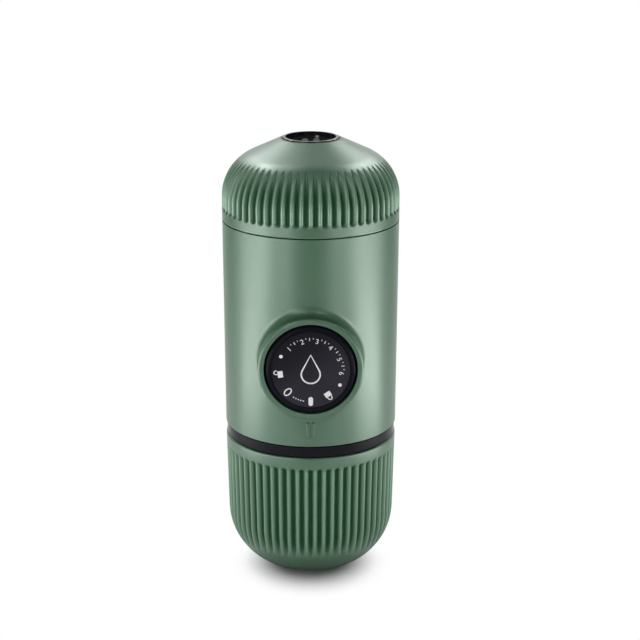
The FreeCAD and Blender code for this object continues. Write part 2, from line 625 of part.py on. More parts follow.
# ---- Main body: pump ------------------------------------------------------------------------------------------------------
def pump_block():
    """Barrel along Y and upright valve tower in one moulding, with ears on the rear posts."""
    barrel = rod_y(BARREL_R, BARREL_FRONT_Y, TOWER_Y)
    flange = rod_y(SEAT_FLANGE_R, SEAT_FLANGE_Y, SEAT_FLANGE_Y + SEAT_FLANGE_THICK)
    tower = disc(TOWER_R, TOWER_LOW_Z, TOWER_HIGH_Z, 0, TOWER_Y)
    nipple_high = TOWER_HIGH_Z + NIPPLE_LEN
    nipple = disc(NIPPLE_R, TOWER_HIGH_Z - THROUGH, nipple_high, 0, TOWER_Y)
    block = barrel.fuse([flange, tower, nipple] + post_ears())
    rear_posts = [(x, y) for x, y in POST_PLACES if y > 0]
    chamber_high = KNOB_Z - CHAMBER_DROP
    cuts = [disc(POST_R + SEAT, KNOB_Z - EYE_HEIGHT, KNOB_Z + EYE_HEIGHT, x, y) for x, y in rear_posts]
    cuts.append(rod_y(LINER_R + SEAT, BARREL_FRONT_Y - THROUGH, BARREL_BACK_Y))
    cuts.append(rod_y(PORT_R, BARREL_BACK_Y - THROUGH, TOWER_Y))
    cuts.append(disc(CHAMBER_R, TOWER_LOW_Z - THROUGH, chamber_high, 0, TOWER_Y))
    cuts.append(disc(PORT_R, chamber_high - THROUGH, VALVE_SEAT_Z + THROUGH, 0, TOWER_Y))
    cuts.append(disc(CHAMBER_R, VALVE_SEAT_Z, SPRING_ROOM_Z, 0, TOWER_Y))
    cuts.append(disc(NIPPLE_BORE_R, SPRING_ROOM_Z - THROUGH, nipple_high + THROUGH, 0, TOWER_Y))
    return block.cut(cuts).removeSplitter()


def post_ears():
    """Plates with eyes that clamp the pump block on the two rear posts."""
    ears = []
    low = KNOB_Z - EYE_HEIGHT / 2
    for x, y in POST_PLACES:
        if y > 0:
            eye = disc(POST_R + EYE_WALL, low, low + EYE_HEIGHT, x, y)
            corner = V(min(x, 0), y - EYE_WEB / 2, low)
            web = Part.makeBox(abs(x) - BARREL_R / 2, EYE_WEB, EYE_HEIGHT, corner)
            if x > 0:
                web.translate(V(BARREL_R / 2, 0, 0))
            ears += [eye, web]
    return ears


def cylinder_liner():
    return tube_y(LINER_R, BORE_R, BARREL_FRONT_Y - LINER_PROUD, BARREL_BACK_Y - SEAT)


def inlet_valve():
    """Duckbill valve: a soft collar with two lips that close to a slit."""
    low = TOWER_LOW_Z + DUCKBILL_RISE
    collar_high = low + DUCKBILL_COLLAR
    lip_r = CHAMBER_R - DUCKBILL_WALL - RUN
    collar = disc(CHAMBER_R - SEAT, low, collar_high, 0, TOWER_Y)
    lips = Part.makeLoft([circle(lip_r, collar_high - SEAT), slit(low + DUCKBILL_LENGTH)], True)
    channel = Part.makeLoft([
        circle(lip_r - DUCKBILL_WALL, low - SEAT),
        circle(SLIT_OPEN_R, low + DUCKBILL_LENGTH - THROUGH)], True)
    return collar.fuse(lips).cut(channel)


def circle(radius, z):
    return Part.Wire(Part.makeCircle(radius, V(0, TOWER_Y, z), UP))


def slit(z):
    return Part.Wire(Part.Ellipse(V(0, TOWER_Y, z), SLIT_HALF, SLIT_THICK).toShape())


def inlet_grommet():
    """Soft bush between tank deck and valve tower."""
    return ring(TOWER_R - RUN, INLET_R, SOCKET_TOP_Z + SEAT, TOWER_LOW_Z - SEAT, 0, TOWER_Y)


def outlet_valve_seat():
    return ring(CHAMBER_R - SEAT, VALVE_SEAT_BORE_R, VALVE_SEAT_Z + SEAT, VALVE_SEAT_TOP_Z, 0, TOWER_Y)


def outlet_ball():
    return Part.makeSphere(BALL_R, V(0, TOWER_Y, BALL_Z))


def outlet_valve_spring():
    """Coil spring between the ball and the roof of the tower."""
    low = BALL_Z + sqrt(BALL_R ** 2 - (VALVE_COIL_R - VALVE_WIRE_R) ** 2) + VALVE_WIRE_R + RUN
    length = SPRING_ROOM_Z - SEAT - VALVE_WIRE_R - low
    return coil_spring(VALVE_COIL_R, VALVE_WIRE_R, length, VALVE_COILS, V(0, TOWER_Y, low), UP)


def delivery_tube():
    """Soft tube from the valve tower up to the brew deck."""
    inner = NIPPLE_R + SEAT
    return ring(inner + TUBE_WALL, inner, TOWER_HIGH_Z + SEAT, DECK_Z - DECK_NIPPLE - SEAT, 0, TOWER_Y)


# ---- Piston and knob ---------------------------------------------------------------------------------------------------------
def piston_rod():
    """Steel rod with the grooved piston head."""
    rod = rod_y(ROD_R, ROD_FRONT_Y, HEAD_REST_Y)
    head = rod_y(BORE_R - RUN, HEAD_REST_Y, HEAD_REST_Y + HEAD_LEN)
    back = HEAD_REST_Y + HEAD_LEN - HEAD_LAND
    groove = tube_y(BORE_R, BORE_R - HEAD_GROOVE, HEAD_REST_Y + HEAD_LAND, back)
    return rod.fuse(head).cut(groove)


def piston_seal():
    front = HEAD_REST_Y + HEAD_LAND + SEAT
    back = HEAD_REST_Y + HEAD_LEN - HEAD_LAND - SEAT
    return tube_y(BORE_R - SEAL_RUN, BORE_R - HEAD_GROOVE + SEAT / 5, front, back)


def spring_carrier():
    """Dished plate on the rod; the spring pushes on it and the knob turns on its stub."""
    plate = rod_y(CARRIER_R, CARRIER_FRONT_Y, CARRIER_Y)
    rim = tube_y(CARRIER_R, CARRIER_R - CARRIER_RIM, CARRIER_Y - CARRIER_THICK / 4, CARRIER_Y + CARRIER_LIP)
    stub = rod_y(STUB_R, STUB_FRONT_Y, CARRIER_FRONT_Y + CARRIER_THICK / 4)
    carrier = plate.fuse([rim, stub])
    rod_hole = rod_y(ROD_R + SEAT, ROD_FRONT_Y - SEAT, CARRIER_Y + THROUGH)
    screw_hole = rod_y(KNOB_SCREW_R + SEAT, STUB_FRONT_Y - THROUGH, ROD_FRONT_Y)
    return carrier.cut([rod_hole, screw_hole]).removeSplitter()


def return_spring():
    """Coil spring round the barrel that pushes the knob out."""
    front = CARRIER_Y + SEAT + SPRING_WIRE_R
    length = SEAT_FLANGE_Y - SEAT - SPRING_WIRE_R - front
    return coil_spring(SPRING_MEAN_R, SPRING_WIRE_R, length, SPRING_COILS, V(0, front, KNOB_Z), BACK)


def knob():
    """Round push knob: thin skirt, front web with a screw well, and a hub on the carrier's stub."""
    back = KNOB_FACE_Y + KNOB_DEPTH
    hub_bore_r = STUB_R + RUN
    hub_r = hub_bore_r + KNOB_HUB_WALL
    body = rod_y(KNOB_R, KNOB_FACE_Y, back)
    rim = [edge for edge in body.Edges if abs(edge.BoundBox.YMax - KNOB_FACE_Y) < RUN / 20]
    body = body.makeFillet(KNOB_ROUND, rim)
    body = body.cut(tube_y(KNOB_R - KNOB_WALL, hub_r, WEB_BACK_Y + RUN, back + THROUGH))
    body = body.cut(rod_y(hub_bore_r, WEB_BACK_Y, back + THROUGH))
    body = body.cut(rod_y(hub_r + THROUGH, CARRIER_FRONT_Y - RUN, back + THROUGH))
    body = body.cut(rod_y(DIAL_R, KNOB_FACE_Y - THROUGH, WEB_FRONT_Y))
    body = body.cut(rod_y(KNOB_SCREW_R + RUN, KNOB_FACE_Y, back))
    well_r = KNOB_SCREW_HEAD_R + SCREW_WELL_PLAY
    return body.cut(rod_y(well_r, KNOB_FACE_Y, WEB_FRONT_Y + SCREW_WELL)).removeSplitter()


def knob_dial():
    """Satin disc with the position marks, set in the face of the knob."""
    return rod_y(DIAL_R - SEAT, KNOB_FACE_Y + DIAL_SINK, DIAL_BACK_Y)


def knob_screw():
    """Shouldered screw in the stub; its head keeps the knob on and lets it turn."""
    head_back = WEB_FRONT_Y + SCREW_WELL - TOUCH
    head_front = head_back - KNOB_SCREW_HEAD
    head = rod_y(KNOB_SCREW_HEAD_R, head_front, head_back)
    shank = rod_y(KNOB_SCREW_R, head_front + KNOB_SCREW_HEAD / 2, ROD_FRONT_Y - KNOB_SCREW_GAP)
    corner = V(-KNOB_SCREW_HEAD_R - THROUGH, head_front - THROUGH, KNOB_Z - SCREW_SLOT / 2)
    slot_depth = THROUGH + KNOB_SCREW_HEAD / 2
    slot = Part.makeBox(2 * KNOB_SCREW_HEAD_R + 2 * THROUGH, slot_depth, SCREW_SLOT, corner)
    return head.fuse(shank).cut(slot)


# ---- Scoop and filter basket ------------------------------------------------------------------------------------------------
def scoop():
    """Measuring scoop and tamper, kept mouth down inside the basket."""
    top, mouth = SCOOP_TOP_Z, SCOOP_MOUTH_Z
    inner = SCOOP_R - SCOOP_WALL
    inner_round = PRESS_ROUND * 2 / 3
    face = outline(
        (0, top), *eased((SCOOP_R, top), (-PRESS_ROUND, 0), (0, -PRESS_ROUND)),
        (SCOOP_R, mouth + SCOOP_FLANGE_THICK), (SCOOP_FLANGE_R, mouth + SCOOP_FLANGE_THICK),
        (SCOOP_FLANGE_R, mouth), (inner, mouth),
        *eased((inner, top - SCOOP_WALL), (0, -inner_round), (-inner_round, 0)),
        (0, top - SCOOP_WALL))
    return turned(face)


def filter_basket():
    """Pressed steel basket, perforated floor towards the outlet and mouth towards the shower."""
    top, low = BASKET_TOP_Z, BASKET_FLANGE_Z
    inner = BASKET_R - BASKET_WALL
    inner_round = PRESS_ROUND - BASKET_WALL
    face = outline(
        (0, top), *eased((BASKET_R, top), (-PRESS_ROUND, 0), (0, -PRESS_ROUND)),
        (BASKET_R, low + BASKET_WALL), (BASKET_FLANGE_R, low + BASKET_WALL), (BASKET_FLANGE_R, low),
        (inner, low), *eased((inner, top - BASKET_WALL), (0, -inner_round), (-inner_round, 0)),
        (0, top - BASKET_WALL))
    holes = hole_grid(BASKET_HOLE_R, HOLE_PITCH, 4, top - BASKET_WALL - THROUGH, top + THROUGH)
    return turned(face).cut(holes)


# ---- Portafilter ----------------------------------------------------------------------------------------------------------------
SHOULDER_CENTRE = (BODY_TOP_R - SHOULDER_R, SHOULDER_Z)
CONE_SLOPE = tan(radians(90.0 - SHOULDER_TURN))


def dome_outline(inset):
    """Points of the dome's outside moved inwards by inset: shoulder start, middle, end and mouth."""
    radius = SHOULDER_R - inset
    start = arc_point(SHOULDER_CENTRE, radius, 0)
    middle = arc_point(SHOULDER_CENTRE, radius, SHOULDER_TURN / 2)
    end = arc_point(SHOULDER_CENTRE, radius, SHOULDER_TURN)
    mouth = (MOUTH_R, end[1] + (end[0] - MOUTH_R) * CONE_SLOPE)
    return start, middle, end, mouth


def portafilter():
    """Green fluted dome with the coffee outlet opening on top."""
    start, middle, end, mouth = dome_outline(0.0)
    start_in, middle_in, end_in, mouth_in = dome_outline(DOME_WALL)
    face = outline(
        (BODY_TOP_R, DOME_FOOT_Z), start, (middle, end),
        (mouth[0] + MOUTH_ROUND, mouth[1] - MOUTH_ROUND * CONE_SLOPE),
        ((mouth[0] + MOUTH_ROUND * 0.2, mouth[1] - MOUTH_ROUND * 0.33), (mouth[0], mouth[1] - MOUTH_ROUND * 0.92)),
        mouth_in, end_in, (middle_in, start_in), (BODY_TOP_R - DOME_WALL, DOME_FOOT_Z))
    dome = fluted(turned(face), dome_flute_face())
    dome.rotate(V(0, 0, 0), UP, 180.0 / FLUTE_COUNT)
    return dome


def dome_flute_face():
    """Side view of one groove: parallel on the cylinder, running out on the shoulder."""
    floor_r = BODY_TOP_R - FLUTE_DEPTH
    rise = DOME_FLUTE_HIGH_Z - SHOULDER_Z
    exit_angle = degrees(asin(rise / SHOULDER_R))
    exit_point = arc_point(SHOULDER_CENTRE, SHOULDER_R, exit_angle)
    inwards = floor_r - exit_point[0]
    floor_arc = (inwards ** 2 + rise ** 2) / (2 * inwards)
    centre = (floor_r - floor_arc, SHOULDER_Z)
    sweep = degrees(asin(rise / floor_arc))
    low = DOME_FLUTE_LOW_Z
    clear_r = BODY_TOP_R + THROUGH
    return outline(
        (clear_r, low), *eased((floor_r, low), (FLUTE_DEPTH, 0), (0, FLUTE_DEPTH)), (floor_r, SHOULDER_Z),
        (arc_point(centre, floor_arc, sweep / 2), exit_point), (clear_r, exit_point[1]))


def portafilter_seal():
    return ring(BASKET_FLANGE_R - RUN, BREW_TUBE_BORE_R + TOUCH, SEAL_LOW_Z, SEAL_LOW_Z + SEAL_THICK)


def portafilter_liner():
    """Black inner moulding: threaded skirt, pressing step and brew tube with the outlet hole."""
    skirt_r = BODY_TOP_R - DOME_WALL - SEAT
    widen_z = DOME_FOOT_Z + SKIRT_STEP
    step_top = STEP_Z + STEP_THICK
    slant_low = CEILING_TOP_Z - (BREW_TUBE_R - CEILING_R) * 0.72
    face = outline(
        (SKIRT_BORE_R, SKIRT_FOOT_Z), (SKIRT_R, SKIRT_FOOT_Z), (SKIRT_R, widen_z),
        (skirt_r, widen_z), (skirt_r, step_top), (BREW_TUBE_R, step_top),
        (BREW_TUBE_R, slant_low), (CEILING_R, CEILING_TOP_Z),
        (SPOUT_BORE_R, CEILING_TOP_Z), (SPOUT_BORE_R, CEILING_Z),
        (BREW_TUBE_BORE_R, CEILING_Z), (BREW_TUBE_BORE_R, STEP_Z), (SKIRT_BORE_R, STEP_Z))
    outer, inner = OUTLET_RING_R + SMALL_RING_GROOVE, OUTLET_RING_R - SMALL_RING_GROOVE
    groove = ring(outer, inner, CEILING_TOP_Z - 2 * SMALL_RING_R, CEILING_TOP_Z + THROUGH)
    return turned(face).fuse(liner_ribs(skirt_r, step_top)).cut(groove).removeSplitter()


def liner_ribs(skirt_r, step_top):
    """Eight gussets between the brew tube and the skirt."""
    ribs = []
    inner = BREW_TUBE_R - RIB_SINK
    outer = skirt_r - RIB_INSET
    profile = outline(
        (inner, step_top - RIB_SINK), (outer, step_top - RIB_SINK),
        (outer, step_top + RIB_FOOT), (inner, CEILING_TOP_Z - RIB_DROP))
    for number in range(RIB_COUNT):
        rib = profile.extrude(V(0, RIB_THICK, 0))
        rib.translate(V(0, -RIB_THICK / 2, 0))
        rib.rotate(V(0, 0, 0), UP, 360.0 / RIB_COUNT * (number + 0.5))
        ribs.append(rib)
    return ribs


def outlet_screen():
    """Fine steel screen under the outlet hole."""
    high = CEILING_Z - SEAT
    low = high - SCREEN_THICK
    plate = disc(BREW_TUBE_BORE_R - SEAT, low, high)
    return plate.cut(hole_grid(SCREEN_HOLE_R, HOLE_PITCH, 4, low - THROUGH, high + THROUGH))


def outlet_head():
    """Glossy bowl in the dome's mouth, with a low spout and three drip ribs."""
    rim_r = MOUTH_R - RUN
    low = CEILING_TOP_Z + SEAT
    flange_r = rim_r + BOWL_FLANGE
    inner_r = rim_r - BOWL_WALL
    floor_r = rim_r - BOWL_INSET
    bend = (inner_r - 0.3 * (inner_r - floor_r), BOWL_FLOOR_Z + 0.3 * (BOWL_RIM_Z - BOWL_FLOOR_Z))
    face = outline(
        (SPOUT_BORE_R, low), (flange_r, low), (flange_r, low + BOWL_FLANGE_THICK),
        (rim_r, low + BOWL_FLANGE_THICK),
        *eased((rim_r, BOWL_RIM_Z), (0, -EDGE_ROUND), (-EDGE_ROUND, 0)),
        (inner_r, BOWL_RIM_Z), (bend, (floor_r, BOWL_FLOOR_Z)), (SPOUT_R, BOWL_FLOOR_Z),
        (SPOUT_R - EDGE_ROUND, SPOUT_TOP_Z), (SPOUT_BORE_R, SPOUT_TOP_Z))
    return turned(face).fuse(drip_ribs(floor_r)).removeSplitter()


def drip_ribs(floor_r):
    """Low rounded ribs from the spout out to the rounded wall of the bowl."""
    ribs = []
    start = SPOUT_R - EDGE_ROUND
    for number in range(3):
        rib = Part.makeCylinder(DRIP_RIB_R, floor_r + BOWL_WALL - start, V(start, 0, BOWL_FLOOR_Z), V(1, 0, 0))
        rib.rotate(V(0, 0, 0), UP, 30.0 + 120.0 * number)
        ribs.append(rib)
    return ribs


def outlet_seal():
    thickness_r = SMALL_RING_R - SEAT / 2
    return o_ring(OUTLET_RING_R, thickness_r, CEILING_TOP_Z - thickness_r)


# ---- Water tank and drinking cup --------------------------------------------------------------------------------------------
def tank_gasket():
    low = TANK_TOP_Z + TOUCH
    return ring(TANK_R, TANK_R - TANK_WALL - GASKET_LIP, low, low + TANK_GASKET_THICK - TOUCH)


def water_tank():
    """Smoked tank with a rounded floor; its neck screws into the tank socket."""
    corner = (TANK_R - TANK_CORNER, TANK_FLOOR_Z + TANK_CORNER)
    inner_arc = TANK_CORNER - TANK_WALL
    inner_r = TANK_R - TANK_WALL
    inner_floor = TANK_FLOOR_Z + TANK_WALL
    face = outline(
        (0, TANK_FLOOR_Z), (corner[0], TANK_FLOOR_Z),
        (arc_point(corner, TANK_CORNER, -45), (TANK_R, corner[1])),
        (TANK_R, TANK_TOP_Z), (inner_r, TANK_TOP_Z), (inner_r, corner[1]),
        (arc_point(corner, inner_arc, -45), (corner[0], inner_floor)), (0, inner_floor))
    return turned(face)


def tank_collar():
    """Black grip band on the tank, with the spigot that the cup is pushed on."""
    bore = TANK_R + SEAT
    groove_r = SPIGOT_R - CUP_RING_GROOVE
    ring_low, ring_high = CUP_RING_Z - CUP_RING_WIDTH / 2, CUP_RING_Z + CUP_RING_WIDTH / 2
    face = outline(
        (bore, SPIGOT_LOW_Z), (SPIGOT_R - EDGE_ROUND, SPIGOT_LOW_Z), (SPIGOT_R, SPIGOT_LOW_Z + EDGE_ROUND),
        (SPIGOT_R, ring_low), (groove_r, ring_low), (groove_r, ring_high), (SPIGOT_R, ring_high),
        (SPIGOT_R, BAND_LOW_Z), (BAND_R - EDGE_ROUND, BAND_LOW_Z), (BAND_R, BAND_LOW_Z + EDGE_ROUND),
        (BAND_R, BAND_TOP_Z - EDGE_ROUND), (BAND_R - EDGE_ROUND, BAND_TOP_Z), (bore, BAND_TOP_Z))
    return turned(face)


def cup_o_ring():
    return o_ring(SPIGOT_R - CUP_RING_GROOVE + O_RING_R + SEAT / 5, O_RING_R, CUP_RING_Z)


def cup_outline(inset):
    """Outside of the cup moved inwards by inset: side start, arc middles and ends, foot edge."""
    side_centre = arc_point((CUP_BEND_R, CUP_BEND_Z), CUP_SIDE_ARC, 180.0 - CUP_LEAN)
    blend = arc_point(side_centre, CUP_SIDE_ARC, -CUP_TURN)
    foot_centre = arc_point(blend, CUP_FOOT_ARC, 180.0 - CUP_TURN)
    side = CUP_SIDE_ARC - inset
    foot = CUP_FOOT_ARC - inset
    return (
        arc_point(side_centre, side, -CUP_LEAN), arc_point(side_centre, side, -CUP_LEAN - CUP_SIDE_TURN / 2),
        arc_point(side_centre, side, -CUP_TURN), arc_point(foot_centre, foot, -(CUP_TURN + 90.0) / 2),
        arc_point(foot_centre, foot, -90.0))


def drinking_cup():
    """Green fluted cup that the maker stands on."""
    bend, side_mid, blend, foot_mid, foot = cup_outline(0.0)
    bend_in, side_mid_in, blend_in, foot_mid_in, foot_in = cup_outline(CUP_WALL)
    face = outline(
        (0, foot[1]), foot, (foot_mid, blend), (side_mid, bend),
        *eased((CUP_RIM_R, CUP_RIM_Z), (0, -EDGE_ROUND), (-EDGE_ROUND, 0)),
        (CUP_RIM_R - CUP_WALL, CUP_RIM_Z), bend_in,
        (side_mid_in, blend_in), (foot_mid_in, foot_in), (0, foot_in[1]))
    return fluted(turned(face), cup_flute_face())


def cup_flute_face():
    """Side view of one groove: along the side, running out where the cup turns under."""
    bend = cup_outline(0.0)[0]
    high = CUP_FLUTE_HIGH_Z
    side_high = bend[0] + (high - bend[1]) * tan(radians(CUP_LEAN))
    floor_bend = (bend[0] - FLUTE_DEPTH, bend[1])
    drop = bend[1] - CUP_FLUTE_LOW_Z
    exit_r = bend[0] - CUP_SIDE_ARC * (1 - cos(asin(drop / CUP_SIDE_ARC)))
    inwards = floor_bend[0] - exit_r
    floor_arc = (inwards ** 2 + drop ** 2) / (2 * inwards)
    centre = (floor_bend[0] - floor_arc, floor_bend[1])
    sweep = degrees(asin(drop / floor_arc))
    clear_r = CUP_RIM_R + THROUGH
    return outline(
        (clear_r, high), *eased((side_high - FLUTE_DEPTH, high), (FLUTE_DEPTH, 0), (0, -FLUTE_DEPTH)), floor_bend,
        (arc_point(centre, floor_arc, -sweep / 2), (exit_r, CUP_FLUTE_LOW_Z)), (clear_r, CUP_FLUTE_LOW_Z))


# ---- All pieces -----------------------------------------------------------------------------------------------------------------
PIECES = [
    body_shell, knob_guide_ring, neck_ring, neck_seal, shower_plate, shower_screw, basket_gasket,
    tank_socket, air_valve, chassis_screws, pump_block, cylinder_liner, inlet_valve, inlet_grommet,
    outlet_valve_seat, outlet_ball, outlet_valve_spring, delivery_tube, piston_rod, piston_seal,
    spring_carrier, return_spring, knob, knob_dial, knob_screw, scoop, filter_basket, portafilter,
    portafilter_seal, portafilter_liner, outlet_screen, outlet_head, outlet_seal, tank_gasket,
    water_tank, tank_collar, cup_o_ring, drinking_cup]

os.makedirs("parts", exist_ok=True)
for piece in PIECES:
    solid = piece()
    solid.exportStep(os.path.join("parts", piece.__name__ + ".step"))
    print(piece.__name__, len(solid.Solids), solid.isValid(), round(solid.Volume, 1))
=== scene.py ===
"""Looks of the handheld espresso maker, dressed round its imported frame.  Lengths are metres.

The file follows the maker from the studio and the brew head down to the drinking cup.
"""
import math

import bpy
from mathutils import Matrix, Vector


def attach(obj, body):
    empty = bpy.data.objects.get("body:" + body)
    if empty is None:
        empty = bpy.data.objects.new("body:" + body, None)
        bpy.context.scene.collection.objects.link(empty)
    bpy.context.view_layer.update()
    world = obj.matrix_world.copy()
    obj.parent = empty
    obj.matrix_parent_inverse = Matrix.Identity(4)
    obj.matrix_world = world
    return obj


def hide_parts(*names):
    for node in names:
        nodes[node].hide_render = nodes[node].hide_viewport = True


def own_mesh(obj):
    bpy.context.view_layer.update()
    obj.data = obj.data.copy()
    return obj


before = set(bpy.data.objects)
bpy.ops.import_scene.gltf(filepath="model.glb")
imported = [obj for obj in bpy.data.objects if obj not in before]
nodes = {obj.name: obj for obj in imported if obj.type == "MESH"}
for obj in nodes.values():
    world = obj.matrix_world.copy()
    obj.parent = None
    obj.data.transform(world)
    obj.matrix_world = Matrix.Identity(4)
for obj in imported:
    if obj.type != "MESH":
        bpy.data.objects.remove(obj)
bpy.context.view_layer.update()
MM = 0.001

scene = bpy.context.scene
scene.view_settings.view_transform = "Standard"


# ---- Studio ------------------------------------------------------------------------------------
# The maker stands on white paper.  Low panels in a ring light its sides, tall ones behind it the
# shoulder, high ones the top, and two that lie on the paper the cup.  The camera has a long lens.
CAMERA_BACK = 0.5752
CAMERA_HEIGHT = 0.2692
CAMERA_PITCH = 17.31
CAMERA_LENS = 94.94
CAMERA_SHIFT = 0.0145

bpy.ops.object.camera_add(
    location=(0, -CAMERA_BACK, CAMERA_HEIGHT),
    rotation=(math.radians(90 - CAMERA_PITCH), 0, 0))
camera = bpy.context.object
camera.data.sensor_width = 36
camera.data.lens = CAMERA_LENS
camera.data.shift_x = CAMERA_SHIFT
camera.data.clip_start = 0.01
scene.camera = camera


def softbox(name, place, target, width, height, watts):
    """A rectangular area lamp at a place, turned towards a target point."""
    bpy.ops.object.light_add(type="AREA", location=place)
    lamp = bpy.context.object
    lamp.name = name
    lamp.data.shape = "RECTANGLE"
    lamp.data.size = width
    lamp.data.size_y = height
    lamp.data.energy = watts
    aim = Vector(target) - Vector(place)
    lamp.rotation_euler = aim.to_track_quat("-Z", "Y").to_euler()
    lamp.visible_camera = False


def round_place(turn, distance, height, rise=0.0):
    """A place round the maker: turn 0 is in front of it and 90 at its right, angles in degrees."""
    angle, lift = math.radians(turn), math.radians(rise)
    flat = distance * math.cos(lift)
    return flat * math.sin(angle), -flat * math.cos(angle), height + distance * math.sin(lift)


RING_R, HIGH_R, BACK_R = 0.35, 0.6, 0.45
PANEL, RING_TALL = 0.09, 0.12
SIDES_Z, CUP_Z, TOP_Z = 0.06, 0.08, 0.14
RING_LEFT, RING_RIGHT = 0.94, 0.88
for turn, watts in ((30, 0.130), (45, 0.083), (60, 0.265), (75, 0.165), (90, 0.130), (105, 0.025)):
    for side, share in ((-1, RING_LEFT), (1, RING_RIGHT)):
        place = round_place(side * turn, RING_R, SIDES_Z)
        softbox(f"ring_{side * turn}", place, (0, 0, SIDES_Z), PANEL, RING_TALL, share * watts)

TALL_Z, TALL_SIZE = 0.41, (PANEL, 0.22)
for turn, watts in ((-150, 0.40), (-135, 0.12), (135, 0.50), (150, 0.33)):
    softbox(f"tall_{turn}", round_place(turn, RING_R, TALL_Z), (0, 0, TALL_Z), *TALL_SIZE, watts)
for turn, watts in ((-130, 0.60), (130, 0.42)):
    place = round_place(turn, BACK_R, TOP_Z, 50)
    softbox(f"shoulder_{turn}", place, (0, 0, TOP_Z), PANEL, PANEL, watts)
HIGH_SIZE = (0.2, 0.2)
for turn, watts in ((-135, 0.508), (135, 0.085), (180, 0.124)):
    softbox(f"high_{turn}", round_place(turn, HIGH_R, CUP_Z, 65), (0, 0, CUP_Z), *HIGH_SIZE, watts)

FRONT_TURN, FRONT_RISE = 32, 42
FRONT_SIZE, FRONT_WATTS = (0.25, 0.25), 0.5
for side in (-1, 1):
    place = round_place(side * FRONT_TURN, HIGH_R, TOP_Z, FRONT_RISE)
    softbox(f"front_high_{side}", place, (0, 0, TOP_Z), *FRONT_SIZE, FRONT_WATTS)
FILL_Z, FILL_SIZE = 0.21, (PANEL, 0.18)
softbox("front_fill", round_place(-30, RING_R, FILL_Z), (0, 0, FILL_Z), *FILL_SIZE, 0.22)

PAPER_X, PAPER_Y, PAPER_Z = 0.24, -0.04, 0.002
PAPER_SIZE = (0.13, 0.14)
for side, watts in ((-1, 0.36), (1, 0.52)):
    place = (side * PAPER_X, PAPER_Y, PAPER_Z)
    softbox(f"paper_{side}", place, (side * PAPER_X, PAPER_Y, 1), *PAPER_SIZE, watts)


def new_node(tree, kind, links=(), **values):
    """Add a shader node, set its sockets by name and link (from_socket, to_name) pairs."""
    node = tree.nodes.new(kind)
    for name, value in values.items():
        node.inputs[name.replace("_", " ")].default_value = value
    for source, name in links:
        tree.links.new(source, node.inputs[name])
    return node


def maths(tree, operation, *values):
    """A math node on sockets or plain numbers; returns its result."""
    node = tree.nodes.new("ShaderNodeMath")
    node.operation = operation
    for socket, value in zip(node.inputs, values):
        if isinstance(value, (int, float)):
            socket.default_value = value
        else:
            tree.links.new(value, socket)
    return node.outputs[0]


def soft_step(tree, value, start, end, low=0.0, high=1.0):
    """A number that eases from low to high while value goes from start to end."""
    step = new_node(tree, "ShaderNodeMapRange", [(value, "Value")], To_Min=low, To_Max=high)
    step.interpolation_type = "SMOOTHSTEP"
    step.inputs["From Min"].default_value = start
    step.inputs["From Max"].default_value = end
    return step.outputs["Result"]


def background_rays(tree, behind):
    """1 for rays that show the white background; mirror rays see only the part that lies behind."""
    path = tree.nodes.new("ShaderNodeLightPath")
    camera_ray, clear_ray = path.outputs["Is Camera Ray"], path.outputs["Is Transmission Ray"]
    straight = maths(tree, "ADD", camera_ray, clear_ray)
    mirrored = maths(tree, "MULTIPLY", path.outputs["Is Glossy Ray"], behind)
    return maths(tree, "MINIMUM", maths(tree, "ADD", straight, mirrored), 1.0)


BEHIND_FROM, BEHIND_TO = 0.60, 0.92
WORLD_LIGHT = 0.15
world = bpy.data.worlds.new("studio_world")
scene.world = world
world.use_nodes = True
sky = world.node_tree
sky.nodes.clear()
sky_room = new_node(sky, "ShaderNodeBackground", Color=(1, 1, 1, 1), Strength=WORLD_LIGHT)
sky_white = new_node(sky, "ShaderNodeBackground", Color=(1, 1, 1, 1), Strength=1.0)
sky_place = sky.nodes.new("ShaderNodeTexCoord")
sky_split = new_node(sky, "ShaderNodeSeparateXYZ", [(sky_place.outputs["Generated"], "Vector")])
sky_behind = soft_step(sky, sky_split.outputs["Y"], BEHIND_FROM, BEHIND_TO)
sky_mix = new_node(sky, "ShaderNodeMixShader", [(background_rays(sky, sky_behind), "Fac")])
sky.links.new(sky_room.outputs[0], sky_mix.inputs[1])
sky.links.new(sky_white.outputs[0], sky_mix.inputs[2])
new_node(sky, "ShaderNodeOutputWorld", [(sky_mix.outputs[0], "Surface")])

FLOOR_RADIUS = 6.0
SHADOW_CENTRE_Y = -0.010
SHADOW_FROM, SHADOW_TO = 0.008, 0.026
WHITE_FROM, WHITE_TO = 0.010, 0.030
PAPER_PAINTED_SHADOW, PAPER_PLAIN = 0.22, 0.86
bpy.ops.mesh.primitive_circle_add(vertices=96, radius=FLOOR_RADIUS, fill_type="NGON")
floor = bpy.context.object
floor.name = "floor"


def new_material(name):
    """An empty node material; returns it with its node tree and its principled shader."""
    material = bpy.data.materials.new(name)
    material.use_nodes = True
    tree = material.node_tree
    return material, tree, tree.nodes["Principled BSDF"]


